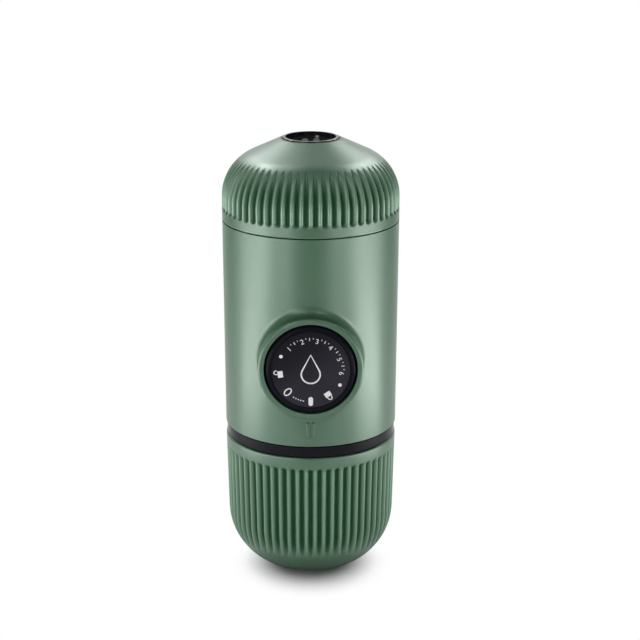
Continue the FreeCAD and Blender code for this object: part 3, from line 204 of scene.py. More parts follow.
def floor_paper():
    """White paper near the maker, with a painted shadow round the foot, and plain white further
    out.
    """
    material, tree, paper = new_material("floor_paper")
    paper.inputs["Roughness"].default_value = 0.75
    glow = new_node(tree, "ShaderNodeEmission", Color=(1, 1, 1, 1), Strength=1.0)
    place = tree.nodes.new("ShaderNodeTexCoord").outputs["Object"]
    spread = new_node(tree, "ShaderNodeVectorMath", [(place, 0)])
    spread.operation = "DISTANCE"
    spread.inputs[1].default_value = (0, SHADOW_CENTRE_Y, 0)
    reach = spread.outputs["Value"]
    split = new_node(tree, "ShaderNodeSeparateXYZ", [(place, "Vector")])
    heading = maths(tree, "DIVIDE", split.outputs["Y"], reach)
    # painted shadow: the paper's colour darkens round the foot, centred a little in front of it
    painted_shadow = soft_step(tree, reach, SHADOW_FROM, SHADOW_TO, PAPER_PAINTED_SHADOW, PAPER_PLAIN)
    tree.links.new(painted_shadow, paper.inputs["Base Color"])
    seen = background_rays(tree, soft_step(tree, heading, BEHIND_FROM, BEHIND_TO))
    white = maths(tree, "MULTIPLY", seen, soft_step(tree, reach, WHITE_FROM, WHITE_TO))
    mixed = new_node(tree, "ShaderNodeMixShader", [(white, "Fac")])
    tree.links.new(paper.outputs[0], mixed.inputs[1])
    tree.links.new(glow.outputs[0], mixed.inputs[2])
    tree.links.new(mixed.outputs[0], tree.nodes["Material Output"].inputs["Surface"])
    return material


floor.data.materials.append(floor_paper())


# ---- Portafilter dome --------------------------------------------------------------------------
# The upper shell, moulded in satin green plastic with a faint pearl.  Sixty rounded grooves give
# the grip for unscrewing it.  It is pressed on the black liner, which carries the thread.
BODY_R = 31.0 * MM
DOME_FOOT = 127.65 * MM
DOME_WALL = 2.0 * MM
SHOULDER = 135.7 * MM
SHOULDER_R = 16.8 * MM
SHOULDER_TURN = math.radians(65)
MOUTH_R = 10.0 * MM
FLUTES = 60
FLUTE_DEPTH = 1.4 * MM
FLUTE_HALF = 1.5 * MM
COLUMNS_PER_FLUTE = 16
DOME_FLUTE_LOW = 131.0 * MM
DOME_FLUTE_HIGH = 149.0 * MM
FLUTE_EASE = 3.2
DOME_PHASE, CUP_PHASE = 0.5, 0.0
WELD = 0.000002


def arc_points(centre, radius, start, end, count):
    """Points of an arc in the profile plane, angles in radians from the outward direction."""
    turns = [start + (end - start) * step / count for step in range(count + 1)]
    return [(centre[0] + radius * math.cos(t), centre[1] + radius * math.sin(t)) for t in turns]


def line_points(start, end, count):
    """Evenly spaced points after start, up to and with end."""
    shares = [step / count for step in range(1, count + 1)]
    run, rise = end[0] - start[0], end[1] - start[1]
    return [(start[0] + run * share, start[1] + rise * share) for share in shares]


def close_mesh():
    """Turn the faces of the mesh in edit mode outwards, shade it smooth and leave edit mode."""
    bpy.ops.mesh.select_all(action="SELECT")
    bpy.ops.mesh.normals_make_consistent(inside=False)
    bpy.ops.mesh.faces_shade_smooth()
    bpy.ops.object.mode_set(mode="OBJECT")


def turned(name, points, steps, closed=True):
    """Draw a profile point by point, spin it once round the upright axis and weld it."""
    bpy.ops.object.select_all(action="DESELECT")
    bpy.ops.mesh.primitive_plane_add(size=MM, location=(0, 0, 0))
    piece = bpy.context.object
    piece.name = name
    piece.data.name = name
    bpy.ops.object.mode_set(mode="EDIT")
    bpy.ops.mesh.merge(type="CENTER")
    here = Vector((0, 0, 0))
    first = Vector((points[0][0], 0, points[0][1]))
    bpy.ops.transform.translate(value=first - here)
    here = first
    for radius, height in points[1:]:
        there = Vector((radius, 0, height))
        bpy.ops.mesh.extrude_region_move(TRANSFORM_OT_translate={"value": there - here})
        here = there
    bpy.ops.mesh.select_all(action="SELECT")
    if closed:
        bpy.ops.mesh.select_all(action="DESELECT")
        bpy.ops.object.mode_set(mode="OBJECT")
        piece.data.vertices[0].select = True
        piece.data.vertices[len(points) - 1].select = True
        bpy.ops.object.mode_set(mode="EDIT")
        bpy.ops.mesh.edge_face_add()
        bpy.ops.mesh.select_all(action="SELECT")
    bpy.ops.mesh.spin(steps=steps, angle=2 * math.pi, center=(0, 0, 0), axis=(0, 0, 1))
    bpy.ops.mesh.select_all(action="SELECT")
    bpy.ops.mesh.remove_doubles(threshold=WELD)
    close_mesh()
    return piece


def press_grooves(piece, depth_at, phase, skip):
    """Push the grooves into a turned shell: depth_at gives depth, half width and overshoot.

    The phase is the share of a groove's pitch that they are turned from the front.  How deep each
    point went is kept in the attribute "cavity", and how near it is to the top of a rib in
    "crest", for the painted shade in the grooves and the painted highlight on the ribs.
    """
    pitch = 2 * math.pi / FLUTES
    cavity = piece.data.attributes.new("cavity", "FLOAT", "POINT")
    crest = piece.data.attributes.new("crest", "FLOAT", "POINT")
    normals = [vertex.normal.copy() for vertex in piece.data.vertices]
    for vertex, normal in zip(piece.data.vertices, normals):
        if skip(vertex.co):
            continue
        radius = math.hypot(vertex.co.x, vertex.co.y)
        turn = math.atan2(vertex.co.y, vertex.co.x) + math.pi / 2 - phase * pitch
        off = abs((turn + pitch / 2) % pitch - pitch / 2) * radius
        depth, half, beyond = depth_at(vertex.co.z)
        half = min(half, pitch / 2 * radius)
        away = math.hypot(off, beyond)
        if depth > 0 and away < half:
            sunk = depth * math.cos(math.pi / 2 * away / half) ** 2
            vertex.co -= normal * sunk
            cavity.data[vertex.index].value = sunk / FLUTE_DEPTH
        if depth > 0 and beyond < half:
            rib = math.sin(math.pi / 2 * min(1.0, off / half)) ** 4 * (1 - beyond / half)
            crest.data[vertex.index].value = rib * min(1.0, depth / FLUTE_DEPTH)


def run_out(height, start, end):
    """Depth of a straight-cutter groove that leaves a rounded surface between start and end."""
    share = max(0.0, (height - start) / (end - start))
    return FLUTE_DEPTH * max(0.0, 1 - share ** FLUTE_EASE)


def dome_groove(height):
    """Depth, half width and overshoot of a dome groove at a height."""
    beyond = max(0.0, DOME_FLUTE_LOW + FLUTE_HALF - height)
    depth = run_out(height, SHOULDER, DOME_FLUTE_HIGH)
    return depth, FLUTE_HALF * math.sqrt(depth / FLUTE_DEPTH), beyond


shoulder_centre = (BODY_R - SHOULDER_R, SHOULDER)
cone_start = arc_points(shoulder_centre, SHOULDER_R, 0, SHOULDER_TURN, 1)[1]
cone_slope = math.tan(math.pi / 2 - SHOULDER_TURN)
mouth = (MOUTH_R, cone_start[1] + (cone_start[0] - MOUTH_R) * cone_slope)
inner_start = arc_points(shoulder_centre, SHOULDER_R - DOME_WALL, 0, SHOULDER_TURN, 1)[1]
inner_mouth = (MOUTH_R, inner_start[1] + (inner_start[0] - MOUTH_R) * cone_slope)
EDGE = 0.25 * MM

dome_profile = [(BODY_R - 2.4 * EDGE, DOME_FOOT), (BODY_R - 1.2 * EDGE, DOME_FOOT)]
dome_profile += [(BODY_R - 0.35 * EDGE, DOME_FOOT + 0.35 * EDGE), (BODY_R, DOME_FOOT + 1.2 * EDGE)]
dome_profile += [(BODY_R, DOME_FOOT + 2.4 * EDGE)]
dome_profile += line_points(dome_profile[-1], (BODY_R, DOME_FLUTE_LOW - 0.3 * MM), 2)
dome_profile += line_points(dome_profile[-1], (BODY_R, DOME_FLUTE_LOW + 2.3 * MM), 12)
dome_profile += line_points(dome_profile[-1], (BODY_R, SHOULDER), 3)
dome_profile += arc_points(shoulder_centre, SHOULDER_R, 0, SHOULDER_TURN, 26)[1:]
dome_profile += line_points(cone_start, (mouth[0] + 1.1 * MM, mouth[1] - 1.1 * MM * cone_slope), 6)
dome_profile += [(mouth[0] + 0.55 * MM, mouth[1] - 0.56 * MM * cone_slope)]
dome_profile += [(mouth[0] + 0.2 * MM, mouth[1] - 0.18 * MM)]
dome_profile += [(mouth[0] + 0.03 * MM, mouth[1] - 0.42 * MM)]
dome_profile += [(mouth[0], mouth[1] - 0.75 * MM), (mouth[0], inner_mouth[1] + 0.2 * MM)]
dome_profile += [inner_mouth]
dome_profile += [(mouth[0] + 0.3 * MM, inner_mouth[1] - 0.3 * MM * cone_slope)]
dome_profile += arc_points(shoulder_centre, SHOULDER_R - DOME_WALL, SHOULDER_TURN, 0, 8)
dome_profile += [(BODY_R - DOME_WALL, DOME_FOOT + 0.3 * MM), (BODY_R - DOME_WALL, DOME_FOOT)]
dome_profile += [(BODY_R - DOME_WALL + 0.3 * MM, DOME_FOOT)]
dome = turned("fluted_dome", dome_profile, FLUTES * COLUMNS_PER_FLUTE)


def inside_dome(point):
    """True for the points that no groove reaches: the inner wall and the cone."""
    radius = math.hypot(point.x, point.y)
    if point.z < SHOULDER:
        return radius < BODY_R - DOME_WALL / 2
    from_centre = math.hypot(radius - shoulder_centre[0], point.z - SHOULDER)
    return from_centre < SHOULDER_R - DOME_WALL / 2 or point.z > DOME_FLUTE_HIGH


press_grooves(dome, dome_groove, DOME_PHASE, inside_dome)


def object_place(tree, stretch=(1, 1, 1)):
    """Object coordinates, stretched for grain that runs one way."""
    place = tree.nodes.new("ShaderNodeTexCoord")
    own = place.outputs["Object"]
    scaled = new_node(tree, "ShaderNodeMapping", [(own, "Vector")], Scale=stretch)
    return scaled.outputs["Vector"]


def noise(tree, place, scale, detail=2.0):
    """Cloudy noise between 0 and 1."""
    texture = new_node(tree, "ShaderNodeTexNoise", [(place, "Vector")], Scale=scale, Detail=detail)
    return texture.outputs["Fac"]


def colours(tree, factor, low, high, dark, light):
    """Colour ramp from dark to light between two factor values."""
    ramp = new_node(tree, "ShaderNodeValToRGB", [(factor, "Fac")])
    ramp.color_ramp.elements[0].position = low
    ramp.color_ramp.elements[0].color = (*dark, 1)
    ramp.color_ramp.elements[1].position = high
    ramp.color_ramp.elements[1].color = (*light, 1)
    return ramp.outputs["Color"]


def span(tree, factor, low, high):
    """A number that runs from low to high with a 0-1 factor."""
    reach = new_node(tree, "ShaderNodeMapRange", [(factor, "Value")], To_Min=low, To_Max=high)
    return reach.outputs["Result"]


def mixed_colour(tree, factor, first, second):
    """Colour between two, each a socket or plain values, by a 0-1 factor."""
    mix = tree.nodes.new("ShaderNodeMix")
    mix.data_type = "RGBA"
    tree.links.new(factor, mix.inputs["Factor"])
    for colour, name in ((first, "A"), (second, "B")):
        if isinstance(colour, tuple):
            mix.inputs[name].default_value = (*colour, 1)
        else:
            tree.links.new(colour, mix.inputs[name])
    return mix.outputs["Result"]


def point_value(tree, name):
    """A value that the mesh keeps for each of its points."""
    kept = tree.nodes.new("ShaderNodeAttribute")
    kept.attribute_name = name
    return kept.outputs["Fac"]


def bump(tree, height, strength, distance):
    """Normals bent by a height, with the distance in metres."""
    lift = new_node(
        tree, "ShaderNodeBump", [(height, "Height")], Strength=strength, Distance=distance)
    return lift.outputs["Normal"]


GREEN_DARK = (0.031, 0.083, 0.046)
GREEN_LIGHT = (0.043, 0.105, 0.059)
GREEN_PAINTED_SHADE = (0.013, 0.051, 0.021)
GREEN_PAINTED_HIGHLIGHT = (0.090, 0.186, 0.114)
GREEN_ROUGH = 0.36
GREEN_METAL = 0.2
GREEN_GLOSS = 0.85
GROOVE_SHADE_GLOSS = 0.15
SHADE_START, SHADE_FULL = 0.40, 0.90


def green_plastic():
    """Satin green with a fine pearl: tiny flakes tint the colour, a soft grain breaks the gloss.

    The grooves carry a painted shade, a deeper, duller green that grows with their depth, and the
    tops of the ribs a painted highlight, a little paler green.
    """
    material, tree, satin = new_material("green_plastic")
    shade = new_node(tree, "ShaderNodeMapRange", [(point_value(tree, "cavity"), "Value")])
    shade.inputs["From Min"].default_value = SHADE_START
    shade.inputs["From Max"].default_value = SHADE_FULL
    painted_groove_shade = shade.outputs["Result"]
    place = object_place(tree)
    flakes = noise(tree, place, 5200)
    cloud = noise(tree, place, 60, 3.0)
    tint = colours(tree, flakes, 0.30, 0.72, GREEN_DARK, GREEN_LIGHT)
    # painted highlight: the tops of the ribs are coloured paler green
    painted_highlight = mixed_colour(tree, point_value(tree, "crest"), tint, GREEN_PAINTED_HIGHLIGHT)
    # painted shade: the grooves are coloured darker, and their gloss is lowered, the deeper they go
    green = mixed_colour(tree, painted_groove_shade, painted_highlight, GREEN_PAINTED_SHADE)
    uneven = span(tree, cloud, GREEN_ROUGH - 0.03, GREEN_ROUGH + 0.03)
    painted_shade_gloss = span(tree, painted_groove_shade, GREEN_GLOSS, GROOVE_SHADE_GLOSS * GREEN_GLOSS)
    tree.links.new(green, satin.inputs["Base Color"])
    tree.links.new(uneven, satin.inputs["Roughness"])
    tree.links.new(bump(tree, flakes, 0.05, 0.00004), satin.inputs["Normal"])
    tree.links.new(painted_shade_gloss, satin.inputs["Specular IOR Level"])
    satin.inputs["Metallic"].default_value = GREEN_METAL
    return material


GREEN = green_plastic()


def finish_piece(piece, material, body, slot, *stands_for):
    """Give a new piece its finish and body, and hide the frame nodes it stands for.  The slot is
    not used.
    """
    piece.data.materials.append(material)
    if stands_for:
        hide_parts(*stands_for)
    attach(piece, body)


finish_piece(dome, GREEN, "brew_head", "shell_green", "portafilter")


# ---- Drinking cup ------------------------------------------------------------------------------
# The cup is moulded in the same green.  Its grooves run from under the rim and leave the surface
# where the side turns under.  It is pushed on the tank's spigot and the maker stands on it.
CUP_RIM = 49.0 * MM
CUP_RIM_R = 30.5 * MM
CUP_BEND_R = 29.9 * MM
CUP_SIDE_ARC = 22.4 * MM
CUP_SIDE_TURN = math.radians(56.9)
CUP_FOOT_ARC = 8.1 * MM
CUP_LEAN = math.radians(1.17)
CUP_WALL = 1.8 * MM
CUP_FLUTE_HIGH = 45.1 * MM
CUP_FLUTE_LOW = 9.3 * MM

cup_turn = CUP_LEAN + CUP_SIDE_TURN
cup_bend = CUP_SIDE_ARC * (math.sin(cup_turn) - math.sin(CUP_LEAN))
cup_bend += CUP_FOOT_ARC * (1 - math.sin(cup_turn))
cup_side_x = CUP_BEND_R - CUP_SIDE_ARC * math.cos(CUP_LEAN)
cup_side_centre = (cup_side_x, cup_bend + CUP_SIDE_ARC * math.sin(CUP_LEAN))
cup_blend = arc_points(cup_side_centre, CUP_SIDE_ARC, 0, -cup_turn, 1)[1]
cup_foot_rise = CUP_FOOT_ARC * math.sin(cup_turn)
cup_foot_centre = (cup_blend[0] - CUP_FOOT_ARC * math.cos(cup_turn), cup_blend[1] + cup_foot_rise)


def cup_side(inset, count, foot_count):
    """The cup's side from the bend round to the flat foot, moved inwards by inset."""
    side = arc_points(cup_side_centre, CUP_SIDE_ARC - inset, -CUP_LEAN, -cup_turn, count)
    foot = arc_points(cup_foot_centre, CUP_FOOT_ARC - inset, -cup_turn, -math.pi / 2, foot_count)
    return side + foot[1:]


def cup_groove(height):
    """Depth, half width and overshoot of a cup groove at a height."""
    beyond = max(0.0, height - (CUP_FLUTE_HIGH - FLUTE_HALF))
    depth = run_out(-height, -cup_bend, -CUP_FLUTE_LOW)
    return depth, FLUTE_HALF * math.sqrt(depth / FLUTE_DEPTH), beyond


cup_outer = cup_side(0, 30, 8)
cup_profile = [(0, cup_outer[-1][1])] + line_points((0, cup_outer[-1][1]), cup_outer[-1], 3)
cup_profile += cup_outer[-2::-1]
cup_profile += line_points(cup_outer[0], (CUP_BEND_R + 0.52 * MM, CUP_FLUTE_HIGH - 2.1 * MM), 5)
cup_profile += line_points(cup_profile[-1], (CUP_BEND_R + 0.57 * MM, CUP_FLUTE_HIGH + 0.4 * MM), 12)
cup_profile += [(CUP_RIM_R, CUP_RIM - 0.7 * MM), (CUP_RIM_R - 0.04 * MM, CUP_RIM - 0.3 * MM)]
cup_profile += [(CUP_RIM_R - 0.25 * MM, CUP_RIM - 0.06 * MM), (CUP_RIM_R - 0.55 * MM, CUP_RIM)]
cup_profile += [(CUP_RIM_R - CUP_WALL + 0.5 * MM, CUP_RIM)]
cup_profile += [(CUP_RIM_R - CUP_WALL + 0.1 * MM, CUP_RIM - 0.1 * MM)]
cup_profile += [(CUP_RIM_R - CUP_WALL, CUP_RIM - 0.5 * MM)]
cup_profile += cup_side(CUP_WALL, 12, 4)
cup_profile += [(0, cup_profile[-1][1])]
cup = turned("fluted_cup", cup_profile, FLUTES * COLUMNS_PER_FLUTE, closed=False)


def inside_cup(point):
    """True for the points of the cup's inner wall."""
    radius = math.hypot(point.x, point.y)
    if point.z > cup_bend:
        return radius < CUP_BEND_R - CUP_WALL / 2
    from_centre = math.hypot(radius - cup_side_centre[0], point.z - cup_side_centre[1])
    return from_centre < CUP_SIDE_ARC - CUP_WALL / 2


press_grooves(cup, cup_groove, CUP_PHASE, inside_cup)
finish_piece(cup, GREEN, "cup", "shell_green", "drinking_cup")


# ---- Body shell --------------------------------------------------------------------------------
# The main tube with the knob's collar and two raised marks, moulded in one piece in the same green
# plastic.  It is screwed to the black neck and carries the pump.
def dress(material, *names):
    """Give frame nodes their finish."""
    for name in names:
        mesh = nodes[name].data
        mesh.materials.clear()
        mesh.materials.append(material)


dress(GREEN, "body_shell")

MARK_SIZE = (1.12, 0.9, 4.92)
MARK_PLACE = (0.93, -30.63, 59.6)
MARK_FLARE = 1.5
MARK_ROUND = 0.24 * MM


def raised_mark(side):
    """One of the two soft-edged bars below the knob that show where the tank's thread begins."""
    bpy.ops.object.select_all(action="DESELECT")
    bpy.ops.mesh.primitive_cube_add(size=1)
    bar = bpy.context.object
    for vertex in bar.data.vertices:
        if vertex.co.y > 0:
            vertex.co.z *= MARK_FLARE
        for axis in range(3):
            vertex.co[axis] *= MARK_SIZE[axis] * MM
        vertex.co += Vector((side * MARK_PLACE[0], MARK_PLACE[1], MARK_PLACE[2])) * MM
    soften = bar.modifiers.new("soften", "BEVEL")
    soften.width = MARK_ROUND
    soften.segments = 4
    bpy.ops.object.modifier_apply(modifier="soften")
    bpy.ops.object.shade_smooth_by_angle(angle=math.radians(40))
    return bar


def joined(name, parts):
    """Join separate meshes in one named piece without materials."""
    bpy.ops.object.select_all(action="DESELECT")
    for part in parts:
        part.select_set(True)
    bpy.context.view_layer.objects.active = parts[0]
    bpy.ops.object.join()
    piece = bpy.context.object
    piece.name = name
    piece.data.name = name
    piece.data.materials.clear()
    return piece


raised_marks = joined("raised_marks", [raised_mark(-1), raised_mark(1)])
finish_piece(raised_marks, GREEN, "main_body", "shell_green")


# ---- Knob, dial disc, guide ring and band ------------------------------------------------------
# Hard black plastic.  The knob is screwed on the piston and turns in the ring that is pressed in
# the collar.  The dial disc is glued in the knob's face.  The band is pressed on the tank.
def black_plastic(name, dark, light, rough, grain, gloss):
    """Moulded black plastic: a soft cloudy grain that breaks the gloss."""
    material, tree, satin = new_material(name)
    place = object_place(tree)
    fine = noise(tree, place, 3000, 3.0)
    cloud = noise(tree, place, 90, 2.0)
    tree.links.new(colours(tree, cloud, 0.3, 0.7, dark, light), satin.inputs["Base Color"])
    tree.links.new(span(tree, fine, rough * 0.88, rough * 1.12), satin.inputs["Roughness"])
    tree.links.new(bump(tree, fine, grain, 0.00005), satin.inputs["Normal"])
    satin.inputs["Specular IOR Level"].default_value = gloss
    return material


KNOB = black_plastic("knob_plastic", (0.003, 0.003, 0.005), (0.005, 0.005, 0.008), 0.26, 0.10, 0.04)

DIAL_DARK, DIAL_LIGHT = (0.013, 0.012, 0.018), (0.018, 0.017, 0.024)
DIAL_PAINTED_SHADE = (0.003, 0.0028, 0.005)
SHEEN_SLANT = 0.6
SHEEN_FROM, SHEEN_TO = -0.096, -0.074


def dial_film():
    """The dial's printed film: near black, with painted shade to the upper left and a painted sheen
    to the lower right.
    """
    material = black_plastic("dial_film", DIAL_DARK, DIAL_LIGHT, 0.55, 0.12, 0.12)
    tree = material.node_tree
    film = tree.nodes["Principled BSDF"].inputs["Base Color"]
    split = new_node(tree, "ShaderNodeSeparateXYZ", [(object_place(tree), "Vector")])
    across = maths(tree, "MULTIPLY", split.outputs["X"], SHEEN_SLANT)
    slope = maths(tree, "SUBTRACT", across, split.outputs["Z"])
    # painted sheen and shade: the film's colour darkens to the upper left and lightens to the lower
    # right
    painted_sheen = soft_step(tree, slope, SHEEN_FROM, SHEEN_TO)
    tree.links.new(mixed_colour(tree, painted_sheen, DIAL_PAINTED_SHADE, film.links[0].from_socket), film)
    return material


DIAL = dial_film()
BAND = black_plastic("band_plastic", (0.002, 0.002, 0.004), (0.003, 0.003, 0.006), 0.21, 0.08, 0.12)
dress(KNOB, "knob")
dress(DIAL, "knob_dial")
dress(BAND, "knob_guide_ring", "tank_collar")


# ---- Dial marks --------------------------------------------------------------------------------
# Pale grey marks printed on the dial disc: a scale with plain numbers, position dots, an open and
# a closed padlock, the two position marks with five points between them, and a drop.
DIAL_FACE = -35.90 * MM
MARK_LIFT = 0.012 * MM
DIAL_HEIGHT = 83.3 * MM
FONT_FILL = 1.4
mark_pieces = []


def on_dial(clock, radius, points):
    """Place flat points (across, outwards) at a clockwise angle from the top of the dial."""
    angle = math.radians(clock)
    placed = []
    for across, out in points:
        x = across * math.cos(angle) + (radius + out) * math.sin(angle)
        z = (radius + out) * math.cos(angle) - across * math.sin(angle)
        placed.append((x * MM, z * MM))
    return placed


def plate(points):
    """A thin printed patch with the outline given, on the dial face."""
    bpy.ops.object.select_all(action="DESELECT")
    bpy.ops.mesh.primitive_circle_add(vertices=len(points), radius=MM, fill_type="NGON")
    patch = bpy.context.object
    for vertex, (x, z) in zip(patch.data.vertices, points):
        vertex.co = (x, DIAL_FACE, DIAL_HEIGHT + z)
    bpy.ops.object.mode_set(mode="EDIT")
    bpy.ops.mesh.select_all(action="SELECT")
    lift = {"value": (0, -MARK_LIFT, 0)}
    bpy.ops.mesh.extrude_region_move(TRANSFORM_OT_translate=lift)
    bpy.ops.mesh.select_all(action="SELECT")
    bpy.ops.mesh.normals_make_consistent(inside=False)
    bpy.ops.object.mode_set(mode="OBJECT")
    mark_pieces.append(patch)


def box_points(width, height):
    """The corners of a box about the point where it is placed."""
    w, h = width / 2, height / 2
    return [(-w, -h), (w, -h), (w, h), (-w, h)]


def round_points(width, height, count=24):
    """A pill: a box with half-round ends."""
    radius = min(width, height) / 2
    points = []
    for step in range(count):
        turn = 2 * math.pi * (step + 0.5) / count
        x, y = math.cos(turn), math.sin(turn)
        across = radius * x + math.copysign(width / 2 - radius, x)
        points.append((across, radius * y + math.copysign(height / 2 - radius, y)))
    return points


def band_points(path, width):
    """The outline of a line of the given width that follows an open path."""
    left, right = [], []
    for step, (x, y) in enumerate(path):
        before = path[max(step - 1, 0)]
        after = path[min(step + 1, len(path) - 1)]
        dx, dy = after[0] - before[0], after[1] - before[1]
        size = math.hypot(dx, dy)
        left.append((x - dy / size * width / 2, y + dx / size * width / 2))
        right.append((x + dy / size * width / 2, y - dx / size * width / 2))
    return left + right[::-1]


def loop_path(width, height, start, sweep, count):
    """Points along part of an ellipse, angles in degrees."""
    turns = [math.radians(start + sweep * step / count) for step in range(count + 1)]
    return [(width / 2 * math.cos(t), height / 2 * math.sin(t)) for t in turns]


def number_mark(text, clock, radius, height):
    """A plain numeral in the built-in font, turned outwards."""
    bpy.ops.object.select_all(action="DESELECT")
    bpy.ops.object.text_add(location=(0, 0, 0))
    numeral = bpy.context.object
    numeral.data.body = text
    numeral.data.align_x = "CENTER"
    numeral.data.align_y = "CENTER"
    numeral.data.size = height * FONT_FILL * MM
    numeral.data.extrude = MARK_LIFT / 2
    numeral.data.resolution_u = 4
    bpy.ops.object.convert(target="MESH")
    numeral = bpy.context.object
    angle = math.radians(clock)
    for vertex in numeral.data.vertices:
        x, z = vertex.co.x, vertex.co.y + radius * MM
        y = DIAL_FACE - MARK_LIFT / 2 - vertex.co.z
        turned_x = x * math.cos(angle) + z * math.sin(angle)
        vertex.co = (turned_x, y, DIAL_HEIGHT - x * math.sin(angle) + z * math.cos(angle))
    mark_pieces.append(numeral)


# Sizes and radii of the marks are in millimetres, and their places are degrees from the top.
NUMBER_R, LOCK_R, TICK_R, DOT_R = 10.35, 10.4, 11.0, 11.2
NUMBER_HEIGHT = 1.75
TICK, SMALL_TICK, TICK_STEP = (0.24, 1.0), (0.18, 0.5), 6.5
for count, clock in enumerate((-44, -16, 12, 40, 68, 96)):
    number_mark(str(count + 1), clock, NUMBER_R, NUMBER_HEIGHT)
for clock in (-30, -2, 26, 54, 82):
    plate(on_dial(clock, TICK_R, box_points(*TICK)))
    for beside in (-TICK_STEP, TICK_STEP):
        plate(on_dial(clock + beside, TICK_R + 0.25, box_points(*SMALL_TICK)))
for clock in (-64, 118):
    plate(on_dial(clock, DOT_R, round_points(1.25, 1.25)))

LOCK_OPEN, LOCK_CLOSED = 0.75, 0.0
LOCK_BODY, SHACKLE = (2.3, 1.75), (1.45, 2.3)
SHACKLE_RISE, SHACKLE_LINE = 0.95, 0.34
for clock, shift in ((-98, LOCK_OPEN), (146, LOCK_CLOSED)):
    plate(on_dial(clock, LOCK_R, box_points(*LOCK_BODY)))
    shackle = [(x + shift, y + SHACKLE_RISE) for x, y in loop_path(*SHACKLE, 0, 180, 14)]
    if shift:
        shackle[0] = (shackle[0][0], shackle[0][1] + 0.1)
    plate(on_dial(clock, LOCK_R, band_points(shackle, SHACKLE_LINE)))

RING_MARK, RING_LINE = (1.8, 2.9), 0.42
PILL, POINT = (1.55, 3.2), (0.46, 0.46)
plate(on_dial(-135, TICK_R, band_points(loop_path(*RING_MARK, 90, 352, 30), RING_LINE)))
for clock in (-149, -153.5, -158, -162.5, -167):
    plate(on_dial(clock, TICK_R + 0.3, round_points(*POINT, 12)))
plate(on_dial(180, DOT_R, round_points(*PILL, 28)))

DROP_R, DROP_CENTRE, DROP_TIP, DROP_LINE = 3.2, -1.5, 5.4, 0.5
drop_turns = [math.radians(turn) for turn in range(-89, 29, 9)]
drop = [(DROP_R * math.cos(t), DROP_R * math.sin(t) + DROP_CENTRE) for t in drop_turns]
drop += [(0.0, DROP_TIP)]
drop += [(-x, z) for x, z in drop[-2::-1]]
plate(on_dial(0, 0, band_points(drop, DROP_LINE)))


def printed_ink():
    """Pale grey printing ink, slightly uneven where the screen print is thin."""
    material, tree, ink = new_material("dial_ink")
    place = object_place(tree)
    patchy = noise(tree, place, 1800, 3.0)
    grey = colours(tree, patchy, 0.3, 0.7, (0.47, 0.47, 0.48), (0.56, 0.56, 0.56))
    tree.links.new(grey, ink.inputs["Base Color"])
    tree.links.new(span(tree, patchy, 0.45, 0.6), ink.inputs["Roughness"])
    return material


finish_piece(joined("dial_marks", mark_pieces), printed_ink(), "pump_knob", "dial_print")


# ---- Outlet ------------------------------------------------------------------------------------
# Glossy black bowl that snaps in the dome's mouth over a fine steel screen.  A silicone ring seals
# it, and the coffee runs through its centre hole.
GLOSS = black_plastic(
    "gloss_plastic", (0.006, 0.006, 0.008), (0.010, 0.010, 0.013), 0.12, 0.02, 0.5)
dress(GLOSS, "outlet_head")


def steel(name, colour, rough, stretch, grain):
    """Stainless steel: fine tool marks that run one way, with cloudy differences in the polish."""
    material, tree, metal = new_material(name)
    marks_place = object_place(tree, stretch)
    lines = noise(tree, marks_place, 900, 4.0)
    cloud = noise(tree, object_place(tree), 140, 2.0)
    lighter = tuple(min(1.0, c * 1.08) for c in colour)
    tree.links.new(colours(tree, lines, 0.3, 0.7, colour, lighter), metal.inputs["Base Color"])
    tree.links.new(span(tree, cloud, rough * 0.8, rough * 1.25), metal.inputs["Roughness"])
    tree.links.new(bump(tree, lines, grain, 0.00002), metal.inputs["Normal"])
    metal.inputs["Metallic"].default_value = 1.0
    return material


def rubber(name, dark, light, rough, clear):
    """Moulded rubber or silicone: matt, with a faint bloom, and a little light inside it."""
    material, tree, soft = new_material(name)
    place = object_place(tree)
    bloom = noise(tree, place, 420, 4.0)
    fine = noise(tree, place, 4200, 2.0)
    tree.links.new(colours(tree, bloom, 0.3, 0.75, dark, light), soft.inputs["Base Color"])
    tree.links.new(span(tree, bloom, rough - 0.06, rough + 0.06), soft.inputs["Roughness"])
    tree.links.new(bump(tree, fine, 0.15, 0.00004), soft.inputs["Normal"])
    soft.inputs["Transmission Weight"].default_value = clear
    soft.inputs["IOR"].default_value = 1.41
    return material


SHEET_STEEL = steel("sheet_steel", (0.56, 0.56, 0.55), 0.26, (1, 1, 9), 0.12)
SILICONE = rubber("clear_silicone", (0.62, 0.61, 0.57), (0.72, 0.71, 0.67), 0.42, 0.25)
BLACK_RUBBER = rubber("black_rubber", (0.010, 0.010, 0.011), (0.020, 0.020, 0.021), 0.58, 0.0)
dress(SHEET_STEEL, "outlet_screen")
dress(SILICONE, "outlet_seal")


# ---- Portafilter liner -------------------------------------------------------------------------
# Black inner moulding that is pressed in the dome.  Its skirt screws down on the neck's thread, and
# its own inside thread is relief in the finish.
THREAD_PITCH = 2.5 * MM
THREAD_FADE = 0.6 * MM
THREAD_BAND = 0.06 * MM
THREAD_RELIEF = 0.6 * MM
LINER_R, LINER_LOW, LINER_HIGH = 26.3 * MM, 118.6 * MM, 124.6 * MM


